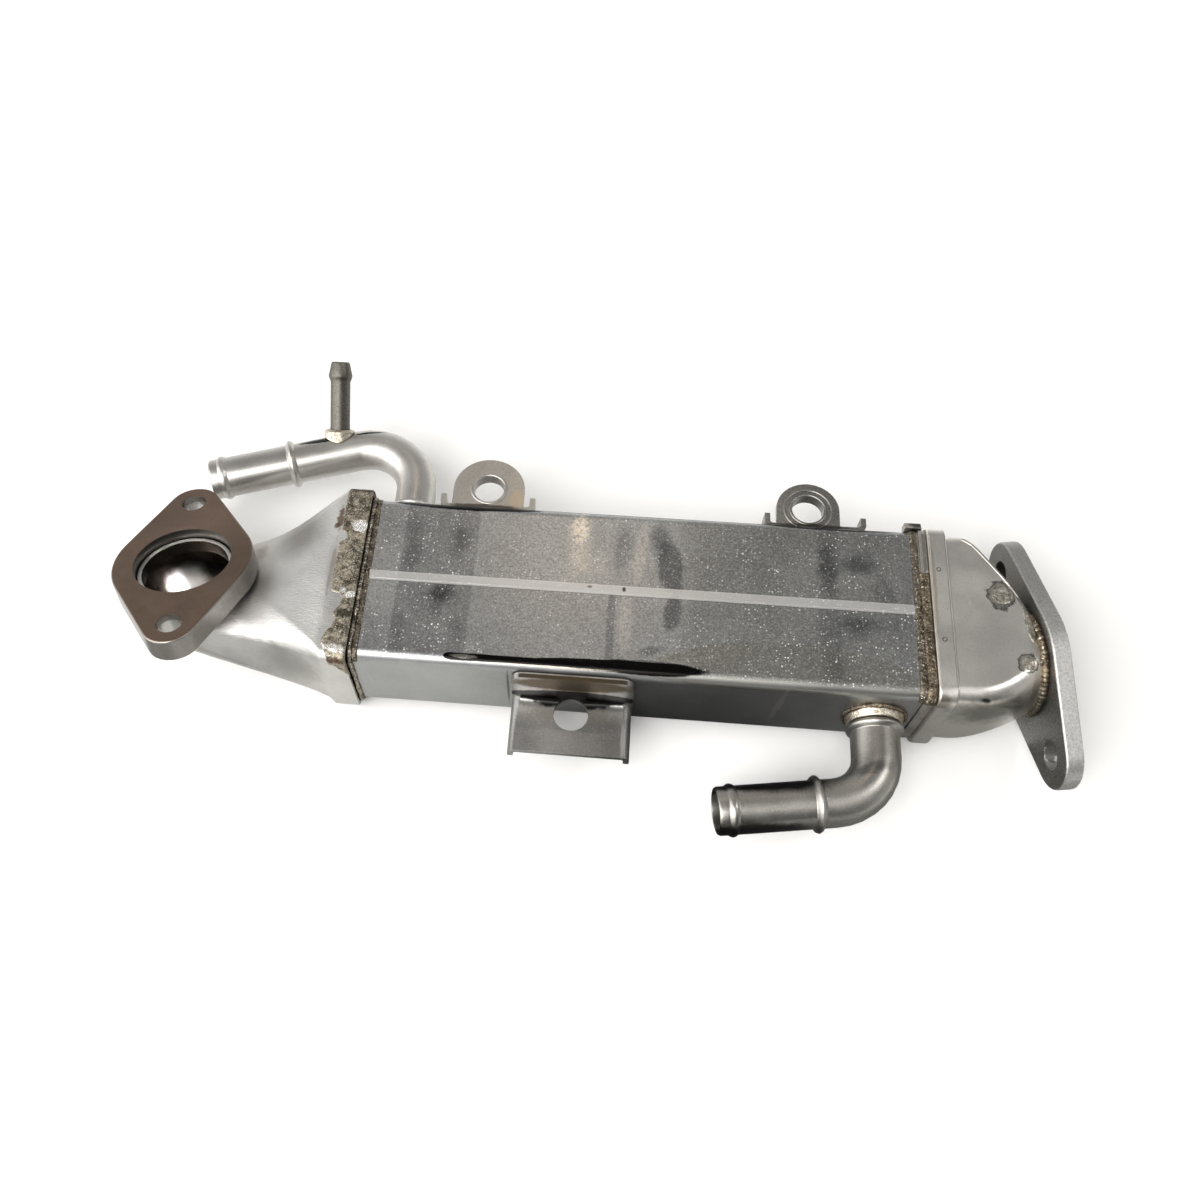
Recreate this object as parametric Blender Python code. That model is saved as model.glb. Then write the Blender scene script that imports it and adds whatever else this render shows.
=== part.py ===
# Exhaust gas cooler: a brazed stainless core of flat gas tubes in a water jacket,
# with a scooped inlet hood, a tapered outlet hood, two bolt flanges, two water pipes,
# a vent nipple and three sheet brackets.
# Frame: X along the core towards the gas outlet, Z up, origin at the middle of the jacket.
import math

import bmesh
import bpy
from mathutils import Matrix, Vector

MM = 0.001
GAP = 0.3 * MM                  # clearance left between neighbouring pieces

# Water jacket
JACKET_LENGTH = 190 * MM
JACKET_WIDTH = 65.2 * MM
JACKET_HEIGHT = 35.2 * MM
JACKET_CORNER = 4 * MM
JACKET_WALL = 1.2 * MM
SEAM_WIDTH = 2.6 * MM           # long seam of the folded jacket, along the middle of its top
SEAM_HEIGHT = 0.15 * MM

# Gas tubes, with a corrugated fin in each
TUBE_COUNT = 5
TUBE_SIDE = 2.4 * MM            # water space between the tubes' sides and the jacket
TUBE_OUTER = 1.2 * MM           # water space above the top tube and below the bottom one
TUBE_SPACE = 1.6 * MM           # water space between two tubes
TUBE_WALL = 0.4 * MM
TUBE_WIDTH = JACKET_WIDTH - 2 * (JACKET_WALL + TUBE_SIDE)
TUBE_STACK = JACKET_HEIGHT - 2 * (JACKET_WALL + TUBE_OUTER)
TUBE_PITCH = (TUBE_STACK + TUBE_SPACE) / TUBE_COUNT
TUBE_HEIGHT = TUBE_PITCH - TUBE_SPACE
TUBE_PROUD = 0.6 * MM           # how far a tube's end stands out of its header
FIN_SHEET = 0.25 * MM
FIN_PITCH = 5 * MM
FIN_SHORT = 4 * MM              # how far a fin's end lies inside its tube
FIN_FLANK = 0.6 * MM            # sideways run of each sloping fin wall

# Header plates between the jacket and the hoods
INLET_HEADER_THICK = 1.2 * MM
OUTLET_HEADER_THICK = 3.2 * MM
HEADER_PROUD = 0.5 * MM
LUG_LENGTH = 5.6 * MM           # locating lug on the outlet header's upper back corner
LUG_OUT = 3 * MM
LUG_DEPTH = 5 * MM

# Hoods
HOOD_WALL = 1.5 * MM
SKIRT_PROUD = 2.3 * MM
SKIRT_LENGTH = 8.7 * MM
SKIRT_CORNER = 3.5 * MM
BELT_PROUD = 1.9 * MM
BELT_LENGTH = 6.6 * MM
BELT_EDGE = 0.9 * MM            # rounding of the belt's two edges
OUTLET_SHOULDER = 6.5 * MM      # straight run of the outlet hood behind its belt
OUTLET_BODY_CORNER = 5.5 * MM
OUTLET_EASE = 1.6               # how late the outlet hood narrows
CORNER_POINTS = 8               # points round each corner of a hood's section
HOOD_STEPS = 10

# Inlet flange: its outer face's centre, and the turns that aim it
INLET_REACH = 65.5 * MM         # from the jacket's end
INLET_FACE = (-JACKET_LENGTH / 2 - INLET_REACH, 0.5 * MM, 18.3 * MM)
INLET_TILT_BACK = 18.1          # degrees about X, towards the back
INLET_TILT_OUT = 3.6            # degrees about Y, away from the core
INLET_TURN = 11                 # degrees about its own normal
INLET_THICK = 8.8 * MM
INLET_BORE = 17.3 * MM          # radii from here on
INLET_WAIST = 25 * MM
INLET_TIP = 9.3 * MM
INLET_BOLT_REACH = 33.2 * MM    # from the bore's centre to a bolt hole
INLET_BOLT_HOLE = 4.4 * MM
INLET_RECESS = 4 * MM           # how far the hood's neck ends below the flange face
INLET_EASE = 1.15               # how quickly the inlet hood narrows at first
INLET_SHOULDER = 20 * MM        # radius of the scoop's round end, under the flange
NECK_STAND = 1.5 * MM           # from the flange's back to that round end
SCOOP_TOP_RUN = 3 * MM          # the scoop's upper line reaches the neck this far level
SCOOP_FLOOR_RUN = 0.05          # level part of the scoop's floor, as a share of its run
SCOOP_BACK = 26 * MM            # upright part of the scoop's back

# Outlet flange
OUTLET_REACH = 45.7 * MM
OUTLET_FACE = (JACKET_LENGTH / 2 + OUTLET_REACH, -7.2 * MM, 0.9 * MM)
OUTLET_YAW = 8.6                # degrees about Z
OUTLET_PITCH = 1.7              # degrees, its face turned up
OUTLET_TURN = 2
OUTLET_THICK = 6 * MM
OUTLET_BORE = 17.3 * MM
OUTLET_WAIST = 22.4 * MM
OUTLET_TIP = 11.4 * MM
OUTLET_BOLT_REACH = 34.6 * MM
OUTLET_BOLT_HOLE = 4.7 * MM
OUTLET_RECESS = 3 * MM
FLANGE_CHAMFER = 0.5 * MM

# Water pipes, both in the jacket's middle plane
PIPE_WALL = 1.2 * MM
BEAD_HALF = 1.6 * MM            # half the length of a rolled bead
LIP_BACK = 5 * MM               # from a pipe's mouth to its lip bead
MOUTH_TAPER = 0.8 * MM
PIPE_BEND_STEPS = 8
FRONT_PIPE_RADIUS = 8.1 * MM
FRONT_PIPE_FROM_END = 12.3 * MM
FRONT_PIPE_X = JACKET_LENGTH / 2 - FRONT_PIPE_FROM_END
FRONT_PIPE_STRAIGHT = 15.5 * MM
FRONT_PIPE_BEND = 17 * MM
FRONT_PIPE_SLANT = 9            # degrees between its free end and the core's length
FRONT_PIPE_FREE = 39 * MM
FRONT_PIPE_STOP = 33 * MM       # from the mouth to the hose stop bead
BACK_PIPE_RADIUS = 7.6 * MM
BACK_PIPE_FROM_END = 10.2 * MM
BACK_PIPE_X = BACK_PIPE_FROM_END - JACKET_LENGTH / 2
BACK_PIPE_STRAIGHT = 14.7 * MM
BACK_PIPE_BEND = 19 * MM
BACK_PIPE_SLANT = 18
BACK_PIPE_FREE = 57.6 * MM
BACK_PIPE_STOP = 31.8 * MM
STOP_BEAD_OUT = 1.6 * MM
LIP_BEAD_OUT = 0.8 * MM
BASE_BEAD_OUT = 1.6 * MM
BASE_BEAD_AT = 5.2 * MM         # from the jacket to a pipe's own bead
COLLAR_HEIGHT = 3.1 * MM
COLLAR_FOOT = 2.1 * MM          # how far a collar's foot and crown stand out from its pipe
COLLAR_CROWN = 1.1 * MM

# Vent nipple on the back pipe
NIPPLE_RADIUS = 3.8 * MM
NIPPLE_BORE = 3 * MM
NIPPLE_BULGE = 0.8 * MM
NIPPLE_REACH = 35 * MM          # from the pipe's axis to the nipple's tip
NIPPLE_AT = 7.7 * MM            # along the free run, from the end of the bend
NIPPLE_RISE = 42                # degrees above the level
NIPPLE_BULGE_AT = 5 * MM        # from the tip
SADDLE_RADIUS = 6 * MM
SADDLE_HEIGHT = 2.2 * MM

# Brackets, folded from sheet
SHEET = 2 * MM
FRONT_BRACKET_X = -19.8 * MM
FRONT_BRACKET_WIDTH = 41.6 * MM
FRONT_BRACKET_REACH = 22 * MM
FRONT_BRACKET_TOP = -0.4 * MM
FRONT_BRACKET_DEPTH = 5.2 * MM
FRONT_BRACKET_HOLE = 6 * MM
FRONT_HOLE_OUT = 7.4 * MM       # from the jacket to the hole's centre
FRONT_TAB_TOP = 16 * MM
FRONT_TAB_CORNER = 4.5 * MM
BRACKET_BEND = 3 * MM
EAR_TOP = 13.2 * MM
EAR_HOLE = 5.6 * MM
EAR_COLLAR = 1.3 * MM           # drawn collar under each ear's hole: its wall, then its depth
EAR_COLLAR_DEPTH = 2 * MM
EAR_BASE_DEPTH = 20 * MM
EAR_WING_OUT = 6 * MM
EAR_SIDE_STEP = 1.2 * MM        # how far the base runs past the ear on each side
LEFT_EAR_FROM_END = 39.3 * MM   # from the jacket's inlet end to the ear's hole
LEFT_EAR_X = LEFT_EAR_FROM_END - JACKET_LENGTH / 2
LEFT_EAR_RADIUS = 13.1 * MM
LEFT_EAR_OUT = 9.3 * MM         # from the jacket to the ear's hole
RIGHT_EAR_FROM_END = 35.3 * MM
RIGHT_EAR_X = JACKET_LENGTH / 2 - RIGHT_EAR_FROM_END
RIGHT_EAR_RADIUS = 11.2 * MM
RIGHT_EAR_OUT = 8.6 * MM
RIGHT_WING_PAST = 5 * MM        # the right bracket's base is longer at its outlet end

SATIN = ((0.50, 0.49, 0.47), 0.34, 1.0)
BRIGHT = ((0.62, 0.61, 0.59), 0.28, 1.0)
DARK_SATIN = ((0.36, 0.35, 0.33), 0.4, 1.0)
HEAT_BROWN = ((0.20, 0.155, 0.12), 0.45, 0.9)
BRAZED = ((0.40, 0.34, 0.25), 0.5, 0.9)


def clear_scene():
    for item in list(bpy.data.objects):
        bpy.data.objects.remove(item, do_unlink=True)


def finish_material(name, finish):
    color, rough, metal = finish
    mat = bpy.data.materials.new(name)
    mat.use_nodes = True
    shader = mat.node_tree.nodes["Principled BSDF"]
    shader.inputs["Base Color"].default_value = (*color, 1)
    shader.inputs["Roughness"].default_value = rough
    shader.inputs["Metallic"].default_value = metal
    return mat


def add_object(name, points, faces, finish=None):
    mesh = bpy.data.meshes.new(name)
    mesh.from_pydata([tuple(p) for p in points], [], faces)
    work = bmesh.new()
    work.from_mesh(mesh)
    bmesh.ops.recalc_face_normals(work, faces=work.faces)
    work.to_mesh(mesh)
    work.free()
    obj = bpy.data.objects.new(name, mesh)
    bpy.context.collection.objects.link(obj)
    mesh.shade_smooth()
    mesh.set_sharp_from_angle(angle=math.radians(35))
    if finish is None:
        obj.hide_render = True
        obj.display_type = "WIRE"
    else:
        mesh.materials.append(finish_material(name, finish))
    return obj


def combine(target, other, operation="DIFFERENCE"):
    """Cuts the other shape out of the target, or joins it on, and removes the other."""
    step = target.modifiers.new(operation.lower(), "BOOLEAN")
    step.operation = operation
    step.object = other
    graph = bpy.context.evaluated_depsgraph_get()
    result = bpy.data.meshes.new_from_object(target.evaluated_get(graph))
    target.modifiers.remove(step)
    target.data = result
    bpy.data.objects.remove(other, do_unlink=True)
    target.data.shade_smooth()
    target.data.set_sharp_from_angle(angle=math.radians(35))


def loft(name, rings, finish=None, closed=False):
    """Skins a row of equal rings. A closed row joins its last ring to its first."""
    count = len(rings[0])
    points = [p for ring in rings for p in ring]
    faces = []
    for i in range(len(rings) if closed else len(rings) - 1):
        a = i * count
        b = (i + 1) % len(rings) * count
        for j in range(count):
            k = (j + 1) % count
            faces.append((a + j, a + k, b + k, b + j))
    if not closed:
        faces.append(tuple(range(count)))
        faces.append(tuple(range((len(rings) - 1) * count, len(rings) * count)))
    return add_object(name, points, faces, finish)


def arc(center, radius, start, end, steps):
    """Points on an arc between two angles in degrees, both ends among them."""
    turns = [math.radians(start + (end - start) * i / steps) for i in range(steps + 1)]
    return [(center[0] + radius * math.cos(t), center[1] + radius * math.sin(t)) for t in turns]


def rounded_loop(half_wide, half_high, corner, steps=CORNER_POINTS - 1):
    loop = []
    for index, (sx, sy) in enumerate(((1, 1), (-1, 1), (-1, -1), (1, -1))):
        middle = (sx * (half_wide - corner), sy * (half_high - corner))
        loop += arc(middle, corner, index * 90, index * 90 + 90, steps)
    return loop


def round_loop(radius, per_quarter=CORNER_POINTS):
    count = 4 * per_quarter
    turns = [(i + 0.5) / count * math.tau for i in range(count)]
    return [(radius * math.cos(t), radius * math.sin(t)) for t in turns]


def blend_loops(first, second, share):
    return [(a[0] + (b[0] - a[0]) * share, a[1] + (b[1] - a[1]) * share) for a, b in zip(first, second)]


def place_loop(loop, center, across, up):
    return [center + across * a + up * b for a, b in loop]


def across_x(loop, x):
    """A loop of (y, z) pairs stood up at one place along the core."""
    return [Vector((x, y, z)) for y, z in loop]


def prism_x(name, loop, start, end, finish=None):
    return loft(name, [across_x(loop, start), across_x(loop, end)], finish)


def prism_y(name, loop, start, end, finish=None):
    return loft(name, [[Vector((x, y, z)) for x, z in loop] for y in (start, end)], finish)


def prism_z(name, loop, start, end, finish=None):
    return loft(name, [[Vector((x, y, z)) for x, y in loop] for z in (start, end)], finish)


def turned(name, profile, origin, axis, finish=None, steps=32):
    """Turns a closed profile of (distance along the axis, radius) pairs round the axis."""
    side = axis.orthogonal().normalized()
    other = axis.cross(side)
    rings = []
    for i in range(steps):
        angle = math.tau * i / steps
        out = side * math.cos(angle) + other * math.sin(angle)
        rings.append([origin + axis * s + out * r for s, r in profile])
    return loft(name, rings, finish, closed=True)


def rod(name, origin, axis, radius, start, end, steps=32):
    side = axis.orthogonal().normalized()
    loop = [(radius * math.cos(math.tau * i / steps), radius * math.sin(math.tau * i / steps))
            for i in range(steps)]
    rings = [place_loop(loop, origin + axis * s, side, axis.cross(side)) for s in (start, end)]
    return loft(name, rings)


# Flanges

def diamond(waist, tip, reach, inset=0):
    """Two-bolt outline: round tips and a round waist, joined by straight tangents."""
    lean = math.degrees(math.acos((waist - tip) / reach))
    loop = arc((reach, 0), tip - inset, -lean, lean, 10)
    loop += arc((0, 0), waist - inset, lean, 180 - lean, 8)
    loop += arc((-reach, 0), tip - inset, 180 - lean, 180 + lean, 10)
    loop += arc((0, 0), waist - inset, 180 + lean, 360 - lean, 8)
    return loop


def inlet_frame():
    """Centre of the inlet flange's face, its bolt direction, its side direction and its normal."""
    turn = (Matrix.Rotation(math.radians(-INLET_TILT_OUT), 3, "Y")
            @ Matrix.Rotation(math.radians(-INLET_TILT_BACK), 3, "X")
            @ Matrix.Rotation(math.radians(90 + INLET_TURN), 3, "Z"))
    return Vector(INLET_FACE), turn.col[0].copy(), turn.col[1].copy(), turn.col[2].copy()


def outlet_frame():
    turn = (Matrix.Rotation(math.radians(OUTLET_YAW), 3, "Z")
            @ Matrix.Rotation(math.radians(90 - OUTLET_PITCH), 3, "Y")
            @ Matrix.Rotation(math.radians(90 + OUTLET_TURN), 3, "Z"))
    return Vector(OUTLET_FACE), turn.col[0].copy(), turn.col[1].copy(), turn.col[2].copy()


def make_flange(name, frame, sizes, finish):
    face, along, side, normal = frame
    waist, tip, reach, thick, bore, bolt = sizes
    levels = ((0, FLANGE_CHAMFER), (FLANGE_CHAMFER, 0), (thick - FLANGE_CHAMFER, 0), (thick, FLANGE_CHAMFER))
    rings = [place_loop(diamond(waist, tip, reach, inset), face - normal * depth, along, side)
             for depth, inset in levels]
    flange = loft(name, rings, finish)
    over = 1 * MM
    for radius, offset, steps in ((bore, 0, 48), (bolt, reach, 24), (bolt, -reach, 24)):
        cutter = rod("bore", face + along * offset, -normal, radius, -over, thick + over, steps)
        combine(flange, cutter)
    return flange


# Hoods

def hood_rings(sections, shrink):
    """Rings of a hood's outer skin, or of its inner skin when shrunk by the wall."""
    rings = []
    for center, across, up, half_wide, half_high, corner, radius, share in sections:
        box = rounded_loop(half_wide - shrink, half_high - shrink, max(corner - shrink, 1 * MM))
        loop = blend_loops(box, round_loop(radius - shrink), share)
        rings.append(place_loop(loop, center, across, up))
    return rings


def make_hood(name, sections, plain, finish):
    """A hood's shell. Its inner skin runs plainly through the sections up to the given one."""
    outer = hood_rings(sections, 0)
    inner = hood_rings(sections[:1] + sections[plain:], HOOD_WALL)
    return loft(name, outer + inner[::-1], finish, closed=True)


def bezier(points, t):
    a, b, c, d = points
    u = 1 - t
    return a * u ** 3 + b * 3 * u * u * t + c * 3 * u * t * t + d * t ** 3


def inlet_sections():
    """From the box skirt, through a scoop that turns up and narrows, to the round neck."""
    face, along, side, normal = inlet_frame()
    neck = INLET_BORE - GAP
    back = face - normal * INLET_THICK
    half_wide = JACKET_WIDTH / 2 + SKIRT_PROUD
    half_high = JACKET_HEIGHT / 2 + SKIRT_PROUD
    joint = -JACKET_LENGTH / 2 - GAP - INLET_HEADER_THICK - GAP
    shoulder = joint - SKIRT_LENGTH
    flat = Vector((0, 1, 0))
    rise = Vector((0, 0, -1))
    sections = []
    for x in (joint, shoulder):
        sections.append((Vector((x, 0, 0)), flat, rise, half_wide, half_high, SKIRT_CORNER, neck, 0))
    foot = back - normal * NECK_STAND
    heel_in = foot - side * INLET_SHOULDER
    heel_out = foot + side * INLET_SHOULDER
    top = Vector((shoulder, 0, half_high))
    low = Vector((shoulder, 0, -half_high))
    reach = heel_out.x - shoulder
    inner_path = (top, top.lerp(heel_in, 0.33), heel_in + Vector((SCOOP_TOP_RUN, 0, 0)), heel_in)
    outer_path = (low, low + Vector((SCOOP_FLOOR_RUN * reach, 0, 0)), heel_out - normal * SCOOP_BACK, heel_out)
    for step in range(1, HOOD_STEPS + 1):
        t = step / HOOD_STEPS
        inside = bezier(inner_path, t)
        outside = bezier(outer_path, t)
        span = outside - inside
        up = span.normalized()
        across = flat.lerp(along, t)
        across = (across - up * across.dot(up)).normalized()
        high = span.length / 2
        share = 1 - (1 - t) ** INLET_EASE
        middle = (inside + outside) / 2
        round_end = min(high, INLET_SHOULDER)
        sections.append((middle, across, up, half_wide, high, SKIRT_CORNER, round_end, share))
    sections.append((back - normal * GAP, along, side, half_wide, neck, SKIRT_CORNER, neck, 1))
    end = back + normal * (INLET_THICK - INLET_RECESS)
    sections.append((end, along, side, half_wide, neck, SKIRT_CORNER, neck, 1))
    return sections


def outlet_sections():
    """From the box belt, over a step, through rounded shoulders to the round neck."""
    face, along, side, normal = outlet_frame()
    neck = OUTLET_BORE - GAP
    back = face - normal * OUTLET_THICK
    half_wide = JACKET_WIDTH / 2
    half_high = JACKET_HEIGHT / 2
    start = JACKET_LENGTH / 2 + GAP + OUTLET_HEADER_THICK + GAP
    flat = Vector((0, 1, 0))
    rise = Vector((0, 0, 1))
    sections = []
    belt = ((0, BELT_PROUD - BELT_EDGE * 0.7), (BELT_EDGE * 0.3, BELT_PROUD - BELT_EDGE * 0.25),
            (BELT_EDGE, BELT_PROUD), (BELT_LENGTH - BELT_EDGE, BELT_PROUD),
            (BELT_LENGTH - BELT_EDGE * 0.3, BELT_PROUD - BELT_EDGE * 0.25),
            (BELT_LENGTH, BELT_PROUD - BELT_EDGE), (BELT_LENGTH + BELT_EDGE * 0.4, 0),
            (BELT_LENGTH + OUTLET_SHOULDER, 0))
    for run, proud in belt:
        sections.append((Vector((start + run, 0, 0)), flat, rise, half_wide + proud, half_high + proud,
                         OUTLET_BODY_CORNER, neck, 0))
    origin = sections[-1][0]
    for step in range(1, HOOD_STEPS + 1):
        t = step / HOOD_STEPS
        share = t ** OUTLET_EASE
        center = origin.lerp(back, t)
        center.y = back.y * share
        center.z = back.z * share
        across = flat.lerp(along, t).normalized()
        up = rise.lerp(side, t)
        up = (up - across * up.dot(across)).normalized()
        sections.append((center, across, up, half_wide, half_high, OUTLET_BODY_CORNER, neck, share))
    end = back + normal * (OUTLET_THICK - OUTLET_RECESS)
    sections.append((end, along, side, half_wide, half_high, OUTLET_BODY_CORNER, neck, 1))
    return sections


# Core

def jacket_loop():
    loop = rounded_loop(JACKET_WIDTH / 2, JACKET_HEIGHT / 2, JACKET_CORNER, 5)
    top = JACKET_HEIGHT / 2
    half = SEAM_WIDTH / 2
    seam = [(half, top), (half, top + SEAM_HEIGHT), (-half, top + SEAM_HEIGHT), (-half, top)]
    return loop[:6] + seam + loop[6:]


def make_jacket():
    half = JACKET_LENGTH / 2
    jacket = prism_x("water_jacket", jacket_loop(), -half, half, SATIN)
    over = 1 * MM
    inside = rounded_loop(JACKET_WIDTH / 2 - JACKET_WALL, JACKET_HEIGHT / 2 - JACKET_WALL,
                          JACKET_CORNER - JACKET_WALL, 5)
    combine(jacket, prism_x("inside", inside, -half - over, half + over))
    wall = JACKET_WIDTH / 2
    for x, out, radius in ((FRONT_PIPE_X, -1, FRONT_PIPE_RADIUS), (BACK_PIPE_X, 1, BACK_PIPE_RADIUS)):
        root = Vector((x, 0, 0))
        axis = Vector((0, out, 0))
        combine(jacket, rod("pipe_hole", root, axis, radius + GAP, wall - 2 * JACKET_WALL, wall + over))
    return jacket


def tube_level(index):
    return (index - (TUBE_COUNT - 1) / 2) * TUBE_PITCH


def tube_loop(grow, level):
    """Flat tube's outline with round edges, grown or shrunk on every side."""
    high = TUBE_HEIGHT / 2 + grow
    wide = TUBE_WIDTH / 2 + grow
    loop = rounded_loop(wide, high, high * 0.9, 3)
    return [(y, z + level) for y, z in loop]


def make_header(name, start, end):
    half_wide = JACKET_WIDTH / 2 + HEADER_PROUD
    half_high = JACKET_HEIGHT / 2 + HEADER_PROUD
    outline = rounded_loop(half_wide, half_high, JACKET_CORNER + HEADER_PROUD, 5)
    header = prism_x(name, outline, start, end, BRAZED)
    over = 1 * MM
    for index in range(TUBE_COUNT):
        slot = prism_x("slot", tube_loop(GAP, tube_level(index)), start - over, end + over)
        combine(header, slot)
    return header


def make_headers():
    half = JACKET_LENGTH / 2
    make_header("inlet_header", -half - GAP - INLET_HEADER_THICK, -half - GAP)
    outlet = make_header("outlet_header", half + GAP, half + GAP + OUTLET_HEADER_THICK)
    back = JACKET_WIDTH / 2
    top = JACKET_HEIGHT / 2
    root = back + GAP
    outline = [(root, top - LUG_DEPTH), (back + LUG_OUT, top - LUG_DEPTH * 0.8),
               (back + LUG_OUT, top - LUG_DEPTH * 0.2), (root, top)]
    end = half + GAP + OUTLET_HEADER_THICK * 0.8
    combine(outlet, prism_x("lug", outline, end - LUG_LENGTH, end), "UNION")


def make_tubes():
    half = JACKET_LENGTH / 2
    start = -half - GAP - INLET_HEADER_THICK - TUBE_PROUD
    end = half + GAP + OUTLET_HEADER_THICK + TUBE_PROUD
    for index in range(TUBE_COUNT):
        level = tube_level(index)
        outer = tube_loop(0, level)
        inner = tube_loop(-TUBE_WALL, level)
        rings = [across_x(outer, start), across_x(outer, end), across_x(inner, end), across_x(inner, start)]
        loft("gas_tube_%d" % (index + 1), rings, SATIN, closed=True)
        make_fin(index, level, start + FIN_SHORT, end - FIN_SHORT)


def make_fin(index, level, start, end):
    """Corrugated strip that fills one gas tube, a square wave with sloping walls."""
    crest = TUBE_HEIGHT / 2 - TUBE_WALL - GAP
    usable = TUBE_WIDTH - 2 * TUBE_WALL - TUBE_HEIGHT
    waves = int(usable / FIN_PITCH)
    left = -waves * FIN_PITCH / 2
    half = FIN_PITCH / 2
    line = []
    for wave in range(waves):
        base = left + wave * FIN_PITCH
        line += [(base, -crest), (base + half - FIN_FLANK, -crest), (base + half, crest),
                 (base + FIN_PITCH - FIN_FLANK, crest)]
    line.append((left + waves * FIN_PITCH, -crest))
    lower = [(y, z if z < 0 else z - FIN_SHEET) for y, z in line]
    # the upper side of the sheet follows the lower one, moved in by its thickness
    upper = []
    for place, (y, z) in enumerate(line):
        sideways = FIN_SHEET if place % 4 in (1, 2) else -FIN_SHEET
        inner = 0 < place < len(line) - 1
        upper.append((y - sideways if inner else y, z + FIN_SHEET if z < 0 else z))
    loop = [(y, z + level) for y, z in lower + upper[::-1]]
    prism_x("gas_fin_%d" % (index + 1), loop, start, end, BRIGHT)


# Water pipes

class PipeRoute:
    """Straight out of the jacket, one bend towards the inlet end, then a straight free run."""

    def __init__(self, x, out, straight, bend, slant, free):
        self.start = Vector((x, out * (JACKET_WIDTH / 2 - JACKET_WALL), 0))
        self.out = Vector((0, out, 0))
        self.straight = straight + JACKET_WALL
        self.bend = bend
        self.sweep = math.radians(90 - slant if out < 0 else 90 + slant)
        self.free = free
        self.bend_end = self.straight + self.bend * self.sweep
        self.total = self.bend_end + free

    def at(self, s):
        """Point and direction at a distance along the route."""
        side = Vector((-1, 0, 0))
        if s <= self.straight:
            return self.start + self.out * s, self.out.copy()
        angle = min((s - self.straight) / self.bend, self.sweep)
        pivot = self.start + self.out * self.straight + side * self.bend
        point = pivot - side * self.bend * math.cos(angle) + self.out * self.bend * math.sin(angle)
        way = self.out * math.cos(angle) + side * math.sin(angle)
        if s > self.bend_end:
            point = point + way * (s - self.bend_end)
        return point, way


def bead_stations(center, radius, out):
    """Distances and radii that draw one rolled bead."""
    run = BEAD_HALF * 0.55
    high = radius + out * 0.7
    return [(center - BEAD_HALF, radius), (center - run, high), (center, radius + out),
            (center + run, high), (center + BEAD_HALF, radius)]


def make_pipe(name, route, radius, stop, steps=24):
    stations = [(0, radius)]
    stations += bead_stations(BASE_BEAD_AT + JACKET_WALL, radius, BASE_BEAD_OUT)
    sweep = route.bend_end - route.straight

    def bend_places(count):
        return [route.straight + sweep * i / count for i in range(count + 1)]

    stations += [(place, radius) for place in bend_places(PIPE_BEND_STEPS)]
    stations += bead_stations(route.total - stop, radius, STOP_BEAD_OUT)
    stations += bead_stations(route.total - LIP_BACK, radius, LIP_BEAD_OUT)
    stations += [(route.total - MOUTH_TAPER, radius), (route.total, radius - MOUTH_TAPER * 0.6)]
    up = Vector((0, 0, 1))

    def ring(s, size):
        point, way = route.at(s)
        side = up.cross(way)
        turns = [math.tau * i / steps for i in range(steps)]
        return place_loop([(size * math.cos(t), size * math.sin(t)) for t in turns], point, side, up)

    outer = [ring(s, size) for s, size in stations]
    inner_places = [0] + bend_places(PIPE_BEND_STEPS // 2) + [route.total]
    inner = [ring(s, radius - PIPE_WALL) for s in inner_places]
    return loft(name, outer + inner[::-1], SATIN, closed=True)


def make_collar(name, x, out, radius):
    """Braze collar round the foot of a pipe, flared at the jacket."""
    wall = JACKET_WIDTH / 2 + GAP
    inner = radius + GAP
    crown = radius + COLLAR_CROWN
    profile = [(wall, inner), (wall, radius + COLLAR_FOOT), (wall + 0.4 * COLLAR_HEIGHT, crown + 0.3 * MM),
               (wall + 0.8 * COLLAR_HEIGHT, crown), (wall + COLLAR_HEIGHT, radius + 0.7 * COLLAR_CROWN),
               (wall + COLLAR_HEIGHT, inner)]
    return turned(name, profile, Vector((x, 0, 0)), Vector((0, out, 0)), BRAZED, 28)


def nipple_axis(route):
    foot, way = route.at(route.bend_end + NIPPLE_AT)
    rise = math.radians(NIPPLE_RISE)
    return foot, way, Vector((0, math.cos(rise), math.sin(rise)))


def make_nipple(route, pipe):
    foot, way, axis = nipple_axis(route)
    over = 1 * MM
    skin = BACK_PIPE_RADIUS
    inner = NIPPLE_RADIUS + GAP
    combine(pipe, rod("nipple_hole", foot, axis, inner, skin - 2 * PIPE_WALL - over, skin + 2 * over, 20))
    tip = NIPPLE_REACH
    bulge = tip - NIPPLE_BULGE_AT
    thick = NIPPLE_RADIUS
    profile = [(skin - PIPE_WALL * 0.6, NIPPLE_BORE), (skin - PIPE_WALL * 0.6, thick)]
    profile += [(bulge - BEAD_HALF * 1.5, thick), (bulge - BEAD_HALF * 0.6, thick + NIPPLE_BULGE * 0.7),
                (bulge, thick + NIPPLE_BULGE), (bulge + BEAD_HALF, thick + NIPPLE_BULGE * 0.5),
                (tip - 0.6 * MM, thick - 0.2 * MM), (tip, thick - 0.6 * MM), (tip, NIPPLE_BORE)]
    turned("vent_nipple", profile, foot, axis, SATIN, 24)
    top = skin + SADDLE_HEIGHT
    ring = [(skin - 3 * MM, inner), (skin - 3 * MM, SADDLE_RADIUS), (top - 0.8 * MM, SADDLE_RADIUS),
            (top, SADDLE_RADIUS - 0.8 * MM), (top, inner)]
    saddle = turned("nipple_saddle", ring, foot, axis, BRIGHT, 24)
    combine(saddle, rod("pipe_body", foot, way, skin + GAP, -2.5 * SADDLE_RADIUS, 2.5 * SADDLE_RADIUS, 48))


# Brackets

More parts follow.
